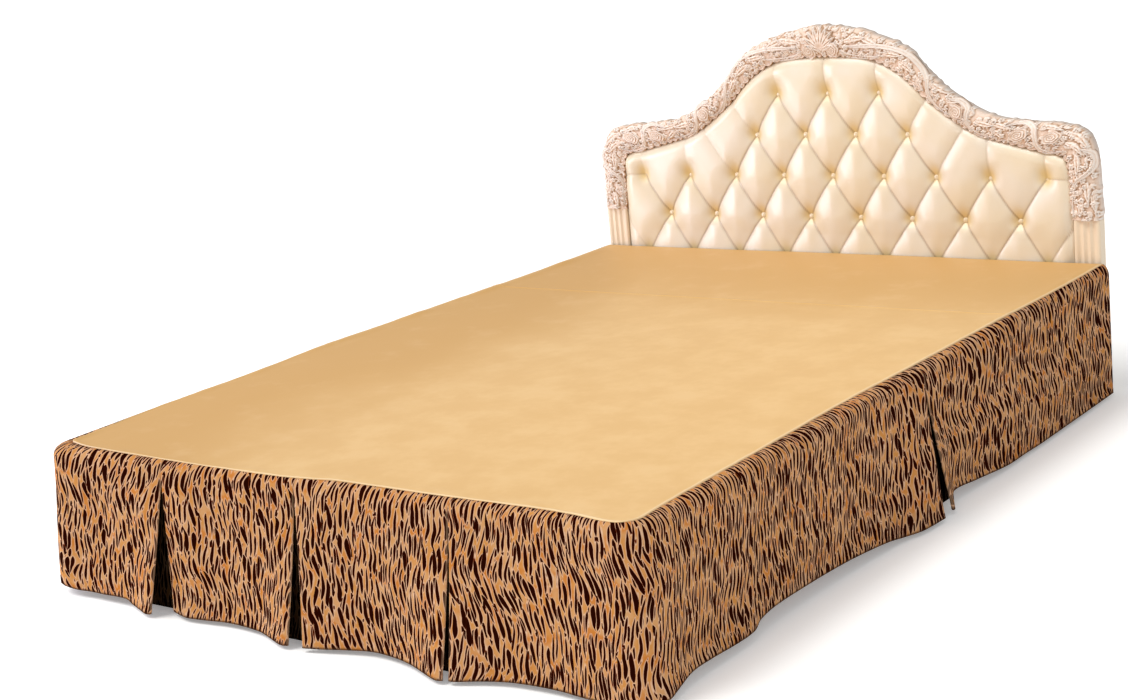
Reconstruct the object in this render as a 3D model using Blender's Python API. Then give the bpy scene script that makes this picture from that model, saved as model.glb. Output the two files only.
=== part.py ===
"""A pleated bed skirt on its bed.

The skirt is two gold cloths that lie on the bed, and six striped widths that are sewn to their edge,
roll over it and hang to the floor. Between two widths is an inverted pleat with a cloth behind it.
The box spring, frame, legs and headboard under the skirt are plain.
Units are metres. +X is the right-hand side seen from the foot, +Y points to the headboard, +Z is up.
"""
import math

import bmesh
import bpy
from mathutils import Vector

# Cloth and clearances
CLOTH = 0.0015              # thickness of every cloth
NEAR = 0.0004               # gap that parts two pieces that touch
PADDING_NEAR = 0.0006       # gap around the headboard's padding

# Bed, as its skirt covers it
TOP_Z = 0.335               # upper face of the gold cloth
SEAM_HALF_WIDTH = 0.738     # middle of the bed to the side seam of the gold cloth
SEAM_FOOT_Y = -1.008        # seam at the foot
BED_HEAD_Y = 1.020          # end of the cloths at the headboard
CORNER_RADIUS = 0.038       # corner of the gold cloth, in plan
CROSS_SEAM_Y = 0.480        # seam between the two gold cloths

# Striped widths
FALL_OUT = 0.022            # how far a width rolls out past the seam
FALL_Z = 0.308              # where the roll ends and the fall begins
OPEN_POWER = 1.3            # folds open faster towards the hem
SHIFT_REACH = 0.55          # a slanted pleat pulls its width this far along
FOLD_TOP = 0.0022           # width's front to the layer turned behind it, at the top
FOLD_HEM = 0.0050           # the same, at the hem
TURNED_BACK = 0.040         # width of cloth turned behind each pleat edge
PLEAT_LAP = 0.052           # the cloth behind a pleat reaches this far past its edges
PLEAT_SLACK = 0.003         # and hangs this far further in at its hem
COLUMN = 0.040              # spacing of a width's columns
ROLL_STEPS = 3
FALL_STEPS = (0.14, 0.32, 0.52, 0.76, 1.0)

# Box spring, frame and legs
SPRING_INSET = 0.016        # side of the box spring behind the falling cloth
SPRING_BOTTOM_Z = 0.190
SPRING_EDGE = 0.030
SPRING_CORNER = 0.050
SPRING_EDGE_STEPS = 4
SPRING_UNDER_EDGE = 0.008   # the smaller edge along its underside
SPRING_HEAD_GAP = 0.002     # it ends this far short of the cloths at the headboard
SPRING_NEAR = 0.0003        # the gold cloths lie this far above it
FRAME_INSET = 0.045
FRAME_BOTTOM_Z = 0.070
FRAME_CORNER = 0.020
LEG_RADIUS_TOP = 0.028
LEG_RADIUS_FOOT = 0.021
LEG_SIDES = 16
LEG_X = 0.620
LEG_Y = (-0.890, 0.020, 0.930)

# Headboard
BOARD_FRONT_Y = 1.030       # front of the posts
BOARD_BACK_Y = 1.062
POST_INNER_X = 0.6700
POST_OUTER_X = 0.737
POST_TOP_Z = 0.440
POST_CHAMFER = 0.004
RAIL_BOTTOM_Z = 0.120
RAIL_FRONT_INSET = 0.006
RAIL_BACK_INSET = 0.003
PANEL_BOTTOM_Z = 0.200
PANEL_FRONT_Y = 1.024       # the fullest part of a pillow of the padding
PANEL_BACK_Y = 1.059
PANEL_RIM_DEPTH = 0.012     # the padding falls back this far at its edges
PANEL_RIM_REACH = 0.045
MOULDING_CROWN = 0.012      # the crest's front stands this far proud of the posts
MOULDING_LIP = 0.008        # and falls back this far at its edges
BUTTON_PITCH_X = 0.150
BUTTON_PITCH_Z = 0.220
BUTTON_Z = 0.540
BUTTON_MARGIN = 0.042       # a button sits at least this far inside the crest
CREASE_DEPTH = 0.015
CREASE_REACH = 0.046
BUTTON_DEPTH = 0.010
BUTTON_REACH = 0.030
PANEL_STEPS = 6             # steps of the padding's mesh for one pitch
PANEL_COLUMNS = range(-28, 29)
PANEL_ROWS = range(-10, 10)
HALF_ROWS = range(-2, 4)    # rows and half columns of the lattice that the buttons are picked from
HALF_COLUMNS = range(-9, 10)

# How far the gold seam stands out from its straight line. Columns: place along the seam, outward.
SEAM_WAVES = [
    (-2.73, -0.004), (-2.38, -0.012), (-2.05, 0.000), (-1.74, 0.006), (-1.53, 0.010), (-1.31, -0.004),
    (-1.02, -0.004), (-0.88, -0.015), (-0.76, -0.023), (-0.71, -0.020), (-0.64, -0.006), (-0.42, 0.005),
    (-0.19, 0.010), (-0.04, 0.007), (0.07, -0.007), (0.29, -0.006), (0.53, -0.009), (0.61, -0.005),
    (0.69, 0.006), (0.83, 0.000), (1.06, -0.003), (1.22, -0.005), (1.50, -0.010), (1.72, -0.004),
    (2.09, 0.001), (2.47, 0.010), (2.75, 0.008),
]

# Places run along the seam from the middle of the foot: left is negative, right is positive.
# Columns: top of the pleat, hem of the edge on its left, hem of the edge on its right, hem of its back.
PLEATS = {
    "side_left": (-1.758, -1.815, -1.765, 0.014),
    "foot_1": (-0.394, -0.461, -0.425, 0.011),
    "foot_2": (-0.026, -0.061, -0.025, 0.012),
    "foot_3": (0.354, 0.334, 0.345, 0.012),
    "side_right": (1.758, 1.765, 1.815, 0.014),
}

# The hem of each width. Columns: place along the seam, outward from the fall, height above the floor.
WIDTHS = {
    "drop_side_left": [
        (-2.75, 0.000, 0.010), (-2.45, 0.004, 0.010), (-2.20, -0.004, 0.014), (-2.00, -0.006, 0.018),
        (-1.90, 0.002, 0.015), (-1.815, 0.014, 0.010),
    ],
    "drop_corner_left": [
        (-1.765, 0.008, 0.012), (-1.68, 0.000, 0.014), (-1.45, 0.006, 0.011), (-1.20, -0.006, 0.016),
        (-1.00, 0.008, 0.014), (-0.85, 0.030, 0.018), (-0.760, 0.042, 0.024), (-0.739, 0.034, 0.024),
        (-0.717, 0.004, 0.018), (-0.690, -0.006, 0.017), (-0.637, -0.005, 0.0175), (-0.563, -0.004, 0.018),
        (-0.537, 0.002, 0.0115), (-0.500, 0.016, 0.010), (-0.472, 0.026, 0.009), (-0.461, 0.024, 0.009),
    ],
    "drop_foot_left": [
        (-0.425, -0.007, 0.010), (-0.371, 0.008, 0.010), (-0.328, 0.004, 0.010), (-0.254, -0.004, 0.011),
        (-0.167, 0.003, 0.010), (-0.119, 0.020, 0.009), (-0.080, 0.036, 0.009), (-0.061, 0.036, 0.009),
    ],
    "drop_foot_right": [
        (-0.025, 0.032, 0.009), (0.013, 0.022, 0.009), (0.068, 0.006, 0.010), (0.125, -0.006, 0.011),
        (0.184, -0.001, 0.011), (0.234, 0.011, 0.010), (0.283, 0.031, 0.009), (0.320, 0.045, 0.008),
        (0.334, 0.044, 0.008),
    ],
    "drop_corner_right": [
        (0.345, 0.039, 0.008), (0.358, 0.037, 0.008), (0.404, 0.017, 0.009), (0.454, 0.002, 0.010),
        (0.510, -0.003, 0.011), (0.569, -0.003, 0.011), (0.613, 0.001, 0.010), (0.700, 0.006, 0.008),
        (0.735, 0.008, 0.008), (0.780, 0.002, 0.015), (0.840, -0.006, 0.024), (0.900, -0.007, 0.024),
        (0.992, -0.006, 0.020), (1.053, -0.007, 0.021), (1.085, -0.014, 0.029), (1.143, -0.017, 0.034),
        (1.257, -0.017, 0.033), (1.351, -0.015, 0.031), (1.438, -0.011, 0.028), (1.563, -0.003, 0.019),
        (1.632, 0.005, 0.010), (1.677, 0.019, 0.009), (1.763, 0.027, 0.009),
    ],
    "drop_side_right": [
        (1.815, 0.024, 0.010), (1.846, 0.006, 0.022), (1.881, -0.009, 0.029), (1.989, -0.008, 0.020),
        (2.130, 0.001, 0.011), (2.229, 0.001, 0.010), (2.312, 0.002, 0.009), (2.75, 0.000, 0.010),
    ],
}

# Half of the crest, from a post's top to the crown. Columns: inner edge x, z, outer edge x, z.
CREST = [
    (0.670, 0.4404, 0.737, 0.4404), (0.668, 0.500, 0.736, 0.508), (0.666, 0.555, 0.733, 0.585),
    (0.654, 0.597, 0.722, 0.636), (0.628, 0.607, 0.700, 0.663), (0.590, 0.613, 0.650, 0.677),
    (0.520, 0.630, 0.568, 0.683), (0.468, 0.643, 0.503, 0.690), (0.425, 0.656, 0.455, 0.702),
    (0.380, 0.681, 0.405, 0.726), (0.342, 0.706, 0.367, 0.750), (0.308, 0.732, 0.335, 0.773),
    (0.278, 0.758, 0.307, 0.799), (0.250, 0.786, 0.281, 0.826), (0.220, 0.811, 0.254, 0.857),
    (0.185, 0.832, 0.220, 0.881), (0.145, 0.849, 0.178, 0.900), (0.100, 0.857, 0.130, 0.915),
    (0.050, 0.860, 0.066, 0.931), (0.0, 0.861, 0.0, 0.938),
]

# Columns: base colour, roughness
COLOURS = {
    "gold_cloth": ((0.80, 0.57, 0.27), 0.55),
    "striped_cloth": ((0.50, 0.28, 0.12), 0.45),
    "board_leather": ((0.90, 0.80, 0.60), 0.32),
    "painted_wood": ((0.90, 0.74, 0.64), 0.40),
    "bed_cover": ((0.62, 0.55, 0.45), 0.80),
    "dark_wood": ((0.16, 0.08, 0.05), 0.45),
}


# Small tools

def material(slot):
    """The slot's material, made once."""
    made = bpy.data.materials.get(slot)
    if made:
        return made
    colour, roughness = COLOURS[slot]
    made = bpy.data.materials.new(slot)
    made.use_nodes = True
    made.diffuse_color = (*colour, 1.0)
    shader = made.node_tree.nodes["Principled BSDF"]
    shader.inputs["Base Color"].default_value = (*colour, 1.0)
    shader.inputs["Roughness"].default_value = roughness
    shader.inputs["Metallic"].default_value = 0.0
    return made


def add_object(name, points, faces, slot, smooth_angle=0.6):
    """One closed body from its points and faces."""
    mesh = bpy.data.meshes.new(name)
    mesh.from_pydata([tuple(point) for point in points], [], faces)
    work = bmesh.new()
    work.from_mesh(mesh)
    bmesh.ops.recalc_face_normals(work, faces=work.faces)
    work.to_mesh(mesh)
    work.free()
    mesh.shade_smooth()
    mesh.set_sharp_from_angle(angle=smooth_angle)
    mesh.materials.append(material(slot))
    made = bpy.data.objects.new(name, mesh)
    bpy.context.scene.collection.objects.link(made)
    return made


def ease(value):
    """0 to 1 with soft ends."""
    value = min(max(value, 0.0), 1.0)
    return value * value * (3.0 - 2.0 * value)


def mix(low, high, share):
    return low + (high - low) * share


def read_curve(rows, place, column):
    """A smooth curve through one column of a table, read at a place in its first column."""
    if place <= rows[0][0]:
        return rows[0][column]
    if place >= rows[-1][0]:
        return rows[-1][column]
    index = max(i for i in range(len(rows) - 1) if rows[i][0] <= place)
    start, end = rows[index], rows[index + 1]
    span = end[0] - start[0]
    before = rows[index - 1] if index > 0 else start
    after = rows[index + 2] if index + 2 < len(rows) else end
    slope_start = (end[column] - before[column]) / (end[0] - before[0])
    slope_end = (after[column] - start[column]) / (after[0] - start[0])
    share = (place - start[0]) / span
    square, cube = share ** 2, share ** 3
    return ((2 * cube - 3 * square + 1) * start[column] + (cube - 2 * square + share) * span * slope_start
            + (3 * square - 2 * cube) * end[column] + (cube - square) * span * slope_end)


def loft(name, rings, slot, smooth_angle=0.6):
    """A closed body through rings that have the same number of points."""
    count = len(rings[0])
    points = [point for ring in rings for point in ring]
    faces = [tuple(range(count)), tuple(range(len(points) - 1, len(points) - 1 - count, -1))]
    for level in range(len(rings) - 1):
        for i in range(count):
            j = (i + 1) % count
            faces.append((level * count + i, level * count + j, (level + 1) * count + j,
                          (level + 1) * count + i))
    return add_object(name, points, faces, slot, smooth_angle)


# The seam line that the gold cloths and the striped widths share

FOOT_STRAIGHT = SEAM_HALF_WIDTH - CORNER_RADIUS
CORNER_ARC = CORNER_RADIUS * math.pi / 2
SIDE_START_Y = SEAM_FOOT_Y + CORNER_RADIUS
SEAM_END = FOOT_STRAIGHT + CORNER_ARC + BED_HEAD_Y - SIDE_START_Y


def seam_line(place):
    """Point and outward direction at a place along the straight-sided seam."""
    side = 1.0 if place >= 0 else -1.0
    run = abs(place)
    if run <= FOOT_STRAIGHT:
        point, outward = (run, SEAM_FOOT_Y), (0.0, -1.0)
    elif run <= FOOT_STRAIGHT + CORNER_ARC:
        angle = (run - FOOT_STRAIGHT) / CORNER_RADIUS
        outward = (math.sin(angle), -math.cos(angle))
        point = (FOOT_STRAIGHT + CORNER_RADIUS * outward[0], SIDE_START_Y + CORNER_RADIUS * outward[1])
    else:
        outward = (1.0, 0.0)
        point = (SEAM_HALF_WIDTH, SIDE_START_Y + run - FOOT_STRAIGHT - CORNER_ARC)
    return Vector((side * point[0], point[1], 0.0)), Vector((side * outward[0], outward[1], 0.0))


def places_between(start, end, spacing):
    """Places along the seam from start to end, closer around the corners."""
    marks = [start, end]
    for side in (-1.0, 1.0):
        for step in range(5):
            mark = side * (FOOT_STRAIGHT + CORNER_ARC * step / 4)
            if start + 0.01 < mark < end - 0.01:
                marks.append(mark)
    marks.sort()
    places = []
    for low, high in zip(marks, marks[1:]):
        count = max(1, math.ceil((high - low) / spacing - 0.01))
        places += [mix(low, high, i / count) for i in range(count)]
    return places + [end]


# Cloth

def sheet(name, centres, normals, slot):
    """A cloth of even thickness about a grid of centres, with its rims closed."""
    rows, columns = len(centres), len(centres[0])
    front = [centres[i][j] + normals[i][j] * CLOTH / 2 for i in range(rows) for j in range(columns)]
    back = [centres[i][j] - normals[i][j] * CLOTH / 2 for i in range(rows) for j in range(columns)]
    half = rows * columns
    faces = []
    for i in range(rows - 1):
        for j in range(columns - 1):
            a, b = i * columns + j, i * columns + j + 1
            c, d = (i + 1) * columns + j + 1, (i + 1) * columns + j
            faces.append((a, b, c, d))
            faces.append((half + d, half + c, half + b, half + a))
    rim = [(0, j) for j in range(columns)]
    rim += [(i, columns - 1) for i in range(1, rows)]
    rim += [(rows - 1, j) for j in range(columns - 2, -1, -1)]
    rim += [(i, 0) for i in range(rows - 2, 0, -1)]
    ring = [i * columns + j for i, j in rim]
    for a, b in zip(ring, ring[1:] + ring[:1]):
        faces.append((a, half + a, half + b, b))
    return add_object(name, front + back, faces, slot)


def fall_levels():
    """Levels down a width: 0 to 1 over the roll, 1 to 2 down the fall."""
    return [i / ROLL_STEPS for i in range(ROLL_STEPS + 1)] + [1.0 + step for step in FALL_STEPS]


def fold_pitch(level):
    return mix(FOLD_TOP, FOLD_HEM, max(level - 1.0, 0.0))


def cloth_point(place, level, hem_out, hem_z):
    """A striped cloth's middle, at a place along the seam and a level down its fall."""
    point, outward = seam_line(place)
    depth = max(level - 1.0, 0.0)
    if level < 1.0:
        angle = level * math.pi / 2
        start = read_curve(SEAM_WAVES, place, 1) * (1.0 - level) + NEAR
        away = mix(start, FALL_OUT, math.sin(angle))
        height = mix(FALL_Z, TOP_Z - CLOTH / 2, math.cos(angle))
    else:
        away = FALL_OUT + hem_out * depth ** OPEN_POWER
        height = mix(FALL_Z, hem_z, depth)
    return point + outward * away + Vector((0.0, 0.0, height))


def width_edges():
    """For each width: its start and end along the seam, at the top and at the hem, and which are folds."""
    edge_room = FOLD_TOP / 2 + CLOTH / 2 + NEAR / 2
    hem_room = FOLD_HEM / 2 + CLOTH / 2
    pleats = list(PLEATS.values())
    edges = {}
    for index, name in enumerate(WIDTHS):
        before = pleats[index - 1] if index > 0 else None
        after = pleats[index] if index < len(pleats) else None
        start = (before[0] + edge_room, before[2] + hem_room) if before else (-SEAM_END, -SEAM_END)
        end = (after[0] - edge_room, after[1] - hem_room) if after else (SEAM_END, SEAM_END)
        edges[name] = (start, end, bool(before), bool(after))
    return edges


def width_surface(name, start, end):
    """The function that gives a width's middle from its place at the top and its level."""
    reach = min(SHIFT_REACH, end[0] - start[0])

    def surface(top_place, level):
        depth = max(level - 1.0, 0.0)
        pull = (start[1] - start[0]) * (1.0 - ease((top_place - start[0]) / reach))
        pull += (end[1] - end[0]) * (1.0 - ease((end[0] - top_place) / reach))
        hem_place = top_place + pull
        hem_out = read_curve(WIDTHS[name], hem_place, 1)
        hem_z = read_curve(WIDTHS[name], hem_place, 2)
        return cloth_point(top_place + pull * depth, level, hem_out, hem_z)
    return surface


def surface_frame(surface, place, level):
    """Middle, direction along the cloth and direction out of it."""
    step = 0.002
    level_step = 0.02
    middle = surface(place, level)
    along = (surface(place + step, level) - surface(place - step, level)).normalized()
    upper, lower = max(level - level_step, 0.0), min(level + level_step, 2.0)
    down = (surface(place, lower) - surface(place, upper)).normalized()
    outward = down.cross(along).normalized()
    return middle, along, outward


def build_width(name, start, end, start_fold, end_fold):
    """A striped width, with the cloth turned back behind each of its pleat edges."""
    surface = width_surface(name, start, end)
    columns = [(place, 0, 0.0) for place in places_between(start[0], end[0], COLUMN)]
    bends = (0.25, 0.5, 0.75)
    behind = (0.0, 0.5, 1.0)
    if start_fold:
        turned = [(start[0] + TURNED_BACK * share, -1, 1.0) for share in reversed(behind)]
        columns = turned + [(start[0], -1, bend) for bend in reversed(bends)] + columns
    if end_fold:
        turned = [(end[0] - TURNED_BACK * share, 1, 1.0) for share in behind]
        columns = columns + [(end[0], 1, bend) for bend in bends] + turned
    centres, normals = [], []
    for level in fall_levels():
        centre_row, normal_row = [], []
        radius = fold_pitch(level) / 2
        for place, side, turn in columns:
            middle, along, outward = surface_frame(surface, place, level)
            angle = turn * math.pi
            centre_row.append(middle + along * side * radius * math.sin(angle)
                              - outward * radius * (1.0 - math.cos(angle)))
            normal_row.append(outward * math.cos(angle) + along * side * math.sin(angle))
        centres.append(centre_row)
        normals.append(normal_row)
    return sheet(name, centres, normals, "striped_cloth")


def build_pleat_back(name, pleat, left_width, right_width):
    """The cloth that hangs behind a pleat, behind the layers turned back at its two edges."""
    top, hem_left, hem_right, hem_z = pleat
    reads = [read_curve(WIDTHS[left_width], hem_left - PLEAT_LAP * i / 4, 1) for i in range(5)]
    reads += [read_curve(WIDTHS[right_width], hem_right + PLEAT_LAP * i / 4, 1) for i in range(5)]
    hem_out = min(reads) - PLEAT_SLACK

    def surface(share, level):
        depth = max(level - 1.0, 0.0)
        low = mix(top, hem_left, depth) - PLEAT_LAP
        high = mix(top, hem_right, depth) + PLEAT_LAP
        return cloth_point(mix(low, high, share), level, hem_out, hem_z)

    centres, normals = [], []
    for level in fall_levels()[1:]:
        set_back = fold_pitch(level) + CLOTH + NEAR
        frames = [surface_frame(surface, i / 4, level) for i in range(5)]
        centres.append([middle - outward * set_back for middle, along, outward in frames])
        normals.append([outward for middle, along, outward in frames])
    return sheet(name, centres, normals, "striped_cloth")


def build_skirt_sides():
    for name, (start, end, start_fold, end_fold) in width_edges().items():
        build_width(name, start, end, start_fold, end_fold)
    names = list(WIDTHS)
    for index, (name, pleat) in enumerate(PLEATS.items()):
        build_pleat_back("pleat_back_" + name, pleat, names[index], names[index + 1])


def gold_edge(start, end):
    """Points of the waved seam from start to end, one for each column of the widths sewn to it."""
    places = [start]
    for width_start, width_end, start_fold, end_fold in width_edges().values():
        places += [p for p in places_between(width_start[0], width_end[0], COLUMN) if start < p < end]
    points = []
    for place in places + [end]:
        point, outward = seam_line(place)
        point = point + outward * read_curve(SEAM_WAVES, place, 1)
        points.append((point.x, point.y))
    return points


def build_gold_cloth(name, outline):
    """A flat gold cloth over the box spring."""
    rings = [[(x, y, z) for x, y in outline] for z in (TOP_Z - CLOTH, TOP_Z)]
    return loft(name, rings, "gold_cloth")


def build_gold_cloths():
    cross_place = SEAM_END - (BED_HEAD_Y - CROSS_SEAM_Y)
    main_end, head_start = cross_place - NEAR / 2, cross_place + NEAR / 2
    build_gold_cloth("platform_main", gold_edge(-main_end, main_end))
    build_gold_cloth("platform_head", gold_edge(-SEAM_END, -head_start) + gold_edge(head_start, SEAM_END))


# Bed under the skirt

def rounded_ring(half_width, low_y, high_y, radius, z):
    """A rounded rectangle with square corners at the head."""
    steps = 5
    ring = [(half_width, high_y, z), (-half_width, high_y, z)]
    for side in (-1.0, 1.0):
        arc = []
        for i in range(steps + 1):
            angle = math.pi / 2 * i / steps
            arc.append((side * (half_width - radius + radius * math.cos(angle)),
                        low_y + radius - radius * math.sin(angle), z))
        ring += arc if side < 0 else arc[::-1]
    return ring


def build_box_spring():
    half_width = SEAM_HALF_WIDTH + FALL_OUT - SPRING_INSET
    foot_y = SEAM_FOOT_Y - FALL_OUT + SPRING_INSET
    head_y = BED_HEAD_Y - SPRING_HEAD_GAP
    top_z = TOP_Z - CLOTH - SPRING_NEAR
    levels = [(SPRING_UNDER_EDGE, SPRING_BOTTOM_Z), (0.0, SPRING_BOTTOM_Z + SPRING_UNDER_EDGE)]
    for i in range(SPRING_EDGE_STEPS + 1):
        angle = math.pi / 2 * i / SPRING_EDGE_STEPS
        levels.append((SPRING_EDGE * (1 - math.cos(angle)), top_z - SPRING_EDGE * (1 - math.sin(angle))))
    rings = [rounded_ring(half_width - inset, foot_y + inset, head_y, SPRING_CORNER - inset / 2, z)
             for inset, z in levels]
    loft("box_spring", rings, "bed_cover")


def build_bed_frame():
    half_width = SEAM_HALF_WIDTH + FALL_OUT - FRAME_INSET
    foot_y = SEAM_FOOT_Y - FALL_OUT + FRAME_INSET
    rings = [rounded_ring(half_width, foot_y, BOARD_FRONT_Y - NEAR, FRAME_CORNER, z)
             for z in (FRAME_BOTTOM_Z, SPRING_BOTTOM_Z - NEAR)]
    loft("bed_frame", rings, "dark_wood", 0.4)


def build_legs():
    number = 0
    for y in LEG_Y:
        for side in (-1.0, 1.0):
            number += 1
            rings = []
            for radius, z in ((LEG_RADIUS_FOOT, 0.0), (LEG_RADIUS_TOP, FRAME_BOTTOM_Z - NEAR)):
                rings.append([(side * LEG_X + radius * math.cos(math.tau * i / LEG_SIDES),
                               y + radius * math.sin(math.tau * i / LEG_SIDES), z)
                              for i in range(LEG_SIDES)])
            loft(f"leg_{number}", rings, "dark_wood")


# Headboard

def full_crest():
    """The crest's stations from the left post over the crown to the right post."""
    left = [(-inner_x, inner_z, -outer_x, outer_z) for inner_x, inner_z, outer_x, outer_z in CREST]
    return left + CREST[-2::-1]


def build_crest():
    """A rounded moulding that widens and narrows between the crest's inner and outer edges."""
    section = [(0.0, MOULDING_LIP), (0.10, -0.001), (0.30, -0.6 * MOULDING_CROWN), (0.52, -MOULDING_CROWN),
               (0.75, -0.6 * MOULDING_CROWN), (0.92, 0.0), (1.0, MOULDING_LIP + 0.002)]
    rings = []
    for inner_x, inner_z, outer_x, outer_z in full_crest():
        ring = [(mix(inner_x, outer_x, share), BOARD_FRONT_Y + set_back, mix(inner_z, outer_z, share))
                for share, set_back in section]
        ring += [(outer_x, BOARD_BACK_Y, outer_z), (inner_x, BOARD_BACK_Y, inner_z)]
        rings.append(ring)
    loft("headboard_crest", rings, "painted_wood", 0.9)


def build_posts():
    for side, name in ((-1.0, "headboard_post_left"), (1.0, "headboard_post_right")):
        section = [(POST_INNER_X, BOARD_BACK_Y), (POST_INNER_X, BOARD_FRONT_Y + POST_CHAMFER),
                   (POST_INNER_X + POST_CHAMFER, BOARD_FRONT_Y), (POST_OUTER_X - POST_CHAMFER, BOARD_FRONT_Y),
                   (POST_OUTER_X, BOARD_FRONT_Y + POST_CHAMFER), (POST_OUTER_X, BOARD_BACK_Y)]
        rings = [[(side * x, y, z) for x, y in section] for z in (0.0, POST_TOP_Z)]
        loft(name, rings, "painted_wood", 0.4)


def build_rail():
    """The plain rail under the padding, from post to post."""
    half_width = POST_INNER_X - NEAR
    front_y, back_y = BOARD_FRONT_Y + RAIL_FRONT_INSET, BOARD_BACK_Y - RAIL_BACK_INSET
    top_z = PANEL_BOTTOM_Z - NEAR
    section = [(front_y, RAIL_BOTTOM_Z), (back_y, RAIL_BOTTOM_Z), (back_y, top_z), (front_y, top_z)]
    rings = [[(x, y, z) for y, z in section] for x in (-half_width, half_width)]
    loft("headboard_rail", rings, "painted_wood", 0.4)


def crest_inner_z(x):
    """Height of the crest's inner edge above a place across the bed."""
    rows = [(abs(inner_x), inner_z) for inner_x, inner_z, outer_x, outer_z in CREST][::-1]
    x = abs(x)
    for (low_x, low_z), (high_x, high_z) in zip(rows, rows[1:]):
        if x <= high_x:
            return mix(low_z, high_z, (x - low_x) / (high_x - low_x))
    return POST_TOP_Z


def padding_buttons():
    """Buttons on a diamond lattice, as far as the crest leaves room."""
    buttons = []
    for half_row in HALF_ROWS:
        z = BUTTON_Z + BUTTON_PITCH_Z / 2 * half_row
        for half_column in HALF_COLUMNS:
            if (half_row + half_column) % 2:
                continue
            x = BUTTON_PITCH_X / 2 * half_column
            if abs(x) < POST_INNER_X - BUTTON_MARGIN and z < crest_inner_z(x) - BUTTON_MARGIN:
                buttons.append((x, z))
    return buttons


def padding_creases():
    """Creases from each button to the buttons above it, and from the outer ones to the crest."""
    buttons = padding_buttons()
    creases = []
    for x, z in buttons:
        corners = [(x + side * BUTTON_PITCH_X / 2, z + BUTTON_PITCH_Z / 2) for side in (-1.0, 1.0)]
        above = [b for b in buttons for corner in corners if math.dist(b, corner) < NEAR]
        creases += [((x, z), button) for button in above]
        if not above:
            creases.append(((x, z), (x, crest_inner_z(x))))
    return creases


def distance_to_line(x, z, start, end):
    run_x, run_z = end[0] - start[0], end[1] - start[1]
    share = ((x - start[0]) * run_x + (z - start[1]) * run_z) / (run_x ** 2 + run_z ** 2)
    share = min(max(share, 0.0), 1.0)
    return math.hypot(x - start[0] - share * run_x, z - start[1] - share * run_z)


def build_panel():
    """The buttoned padding inside the crest and posts."""
    creases, buttons = padding_creases(), padding_buttons()
    step_x, step_z = BUTTON_PITCH_X / PANEL_STEPS, BUTTON_PITCH_Z / PANEL_STEPS

    def front(x, z):
        near = min(distance_to_line(x, z, start, end) for start, end in creases)
        crease = CREASE_DEPTH * max(1.0 - near / CREASE_REACH, 0.0) ** 1.7
        button = min(math.dist((x, z), b) for b in buttons)
        dimple = BUTTON_DEPTH * max(1.0 - button / BUTTON_REACH, 0.0)
        edge = min(POST_INNER_X - abs(x), max(crest_inner_z(x) - z, 0.0))
        rim = PANEL_RIM_DEPTH * max(1.0 - edge / PANEL_RIM_REACH, 0.0) ** 2
        return PANEL_FRONT_Y + min(crease + dimple + rim, CREASE_DEPTH + BUTTON_DEPTH)

    points, faces = [], []
    for row in PANEL_ROWS:
        for column in PANEL_COLUMNS:
            x, z = column * step_x, BUTTON_Z + row * step_z
            points.append((x, front(x, z), z))
    wide, high = len(PANEL_COLUMNS), len(PANEL_ROWS)
    for i in range(high - 1):
        for j in range(wide - 1):
            a, b, c, d = i * wide + j, i * wide + j + 1, (i + 1) * wide + j + 1, (i + 1) * wide + j
            if points[a][1] + points[c][1] > points[b][1] + points[d][1]:
                faces += [(a, b, c), (a, c, d)]
            else:
                faces += [(a, b, d), (b, c, d)]
    rim = [j for j in range(wide)]
    rim += [i * wide + wide - 1 for i in range(1, high)]
    rim += [(high - 1) * wide + j for j in range(wide - 2, -1, -1)]
    rim += [i * wide for i in range(high - 2, 0, -1)]
    start = len(points)
    points += [(points[i][0], PANEL_BACK_Y, points[i][2]) for i in rim]
    count = len(rim)
    for i in range(count):
        j = (i + 1) % count
        faces.append((rim[i], start + i, start + j, rim[j]))
    faces.append(tuple(range(start, start + count)))
    panel = add_object("headboard_panel", points, faces, "board_leather", 1.2)

    inner = [(inner_x, inner_z) for inner_x, inner_z, outer_x, outer_z in full_crest()]
    outline = []
    for i, (x, z) in enumerate(inner):
        before, after = inner[max(i - 1, 0)], inner[min(i + 1, len(inner) - 1)]
        run = Vector((after[0] - before[0], after[1] - before[1])).normalized()
        outline.append((x + run.y * PADDING_NEAR, z - run.x * PADDING_NEAR))
    side = CREST[0][0] - PADDING_NEAR
    outline = [(-side, PANEL_BOTTOM_Z), (-side, POST_TOP_Z)] + outline[1:-1]
    outline += [(side, POST_TOP_Z), (side, PANEL_BOTTOM_Z)]
    rings = [[(x, y, z) for x, z in outline] for y in (BOARD_FRONT_Y - 0.05, BOARD_BACK_Y + 0.05)]
    cutter = loft("headboard_panel_outline", rings, "board_leather")
    cutter.hide_render = True
    cutter.display_type = "WIRE"
    cut = panel.modifiers.new("Outline", "BOOLEAN")
    cut.operation = "INTERSECT"
    cut.solver = "EXACT"
    cut.object = cutter


def build():
    for old in list(bpy.data.objects):
        bpy.data.objects.remove(old, do_unlink=True)
    build_gold_cloths()
    build_skirt_sides()
    build_box_spring()
    build_bed_frame()
    build_legs()
    build_crest()
    build_posts()
    build_rail()
    build_panel()


build()
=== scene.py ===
"""Looks of a striped, pleated bed skirt on its bed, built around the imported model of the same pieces.

Units are metres. +X is the right-hand side seen from the foot, +Y points to the headboard, +Z is up.
The skirt's sheets follow the model's folds with finer steps. The headboard's padding, carving and posts
are modelled here. The rail, box spring, bed frame and legs keep the model's shapes and get their
materials here.
"""
import math
import random

import bmesh
import bpy
import numpy as np
from mathutils import Matrix, Vector, noise


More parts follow.
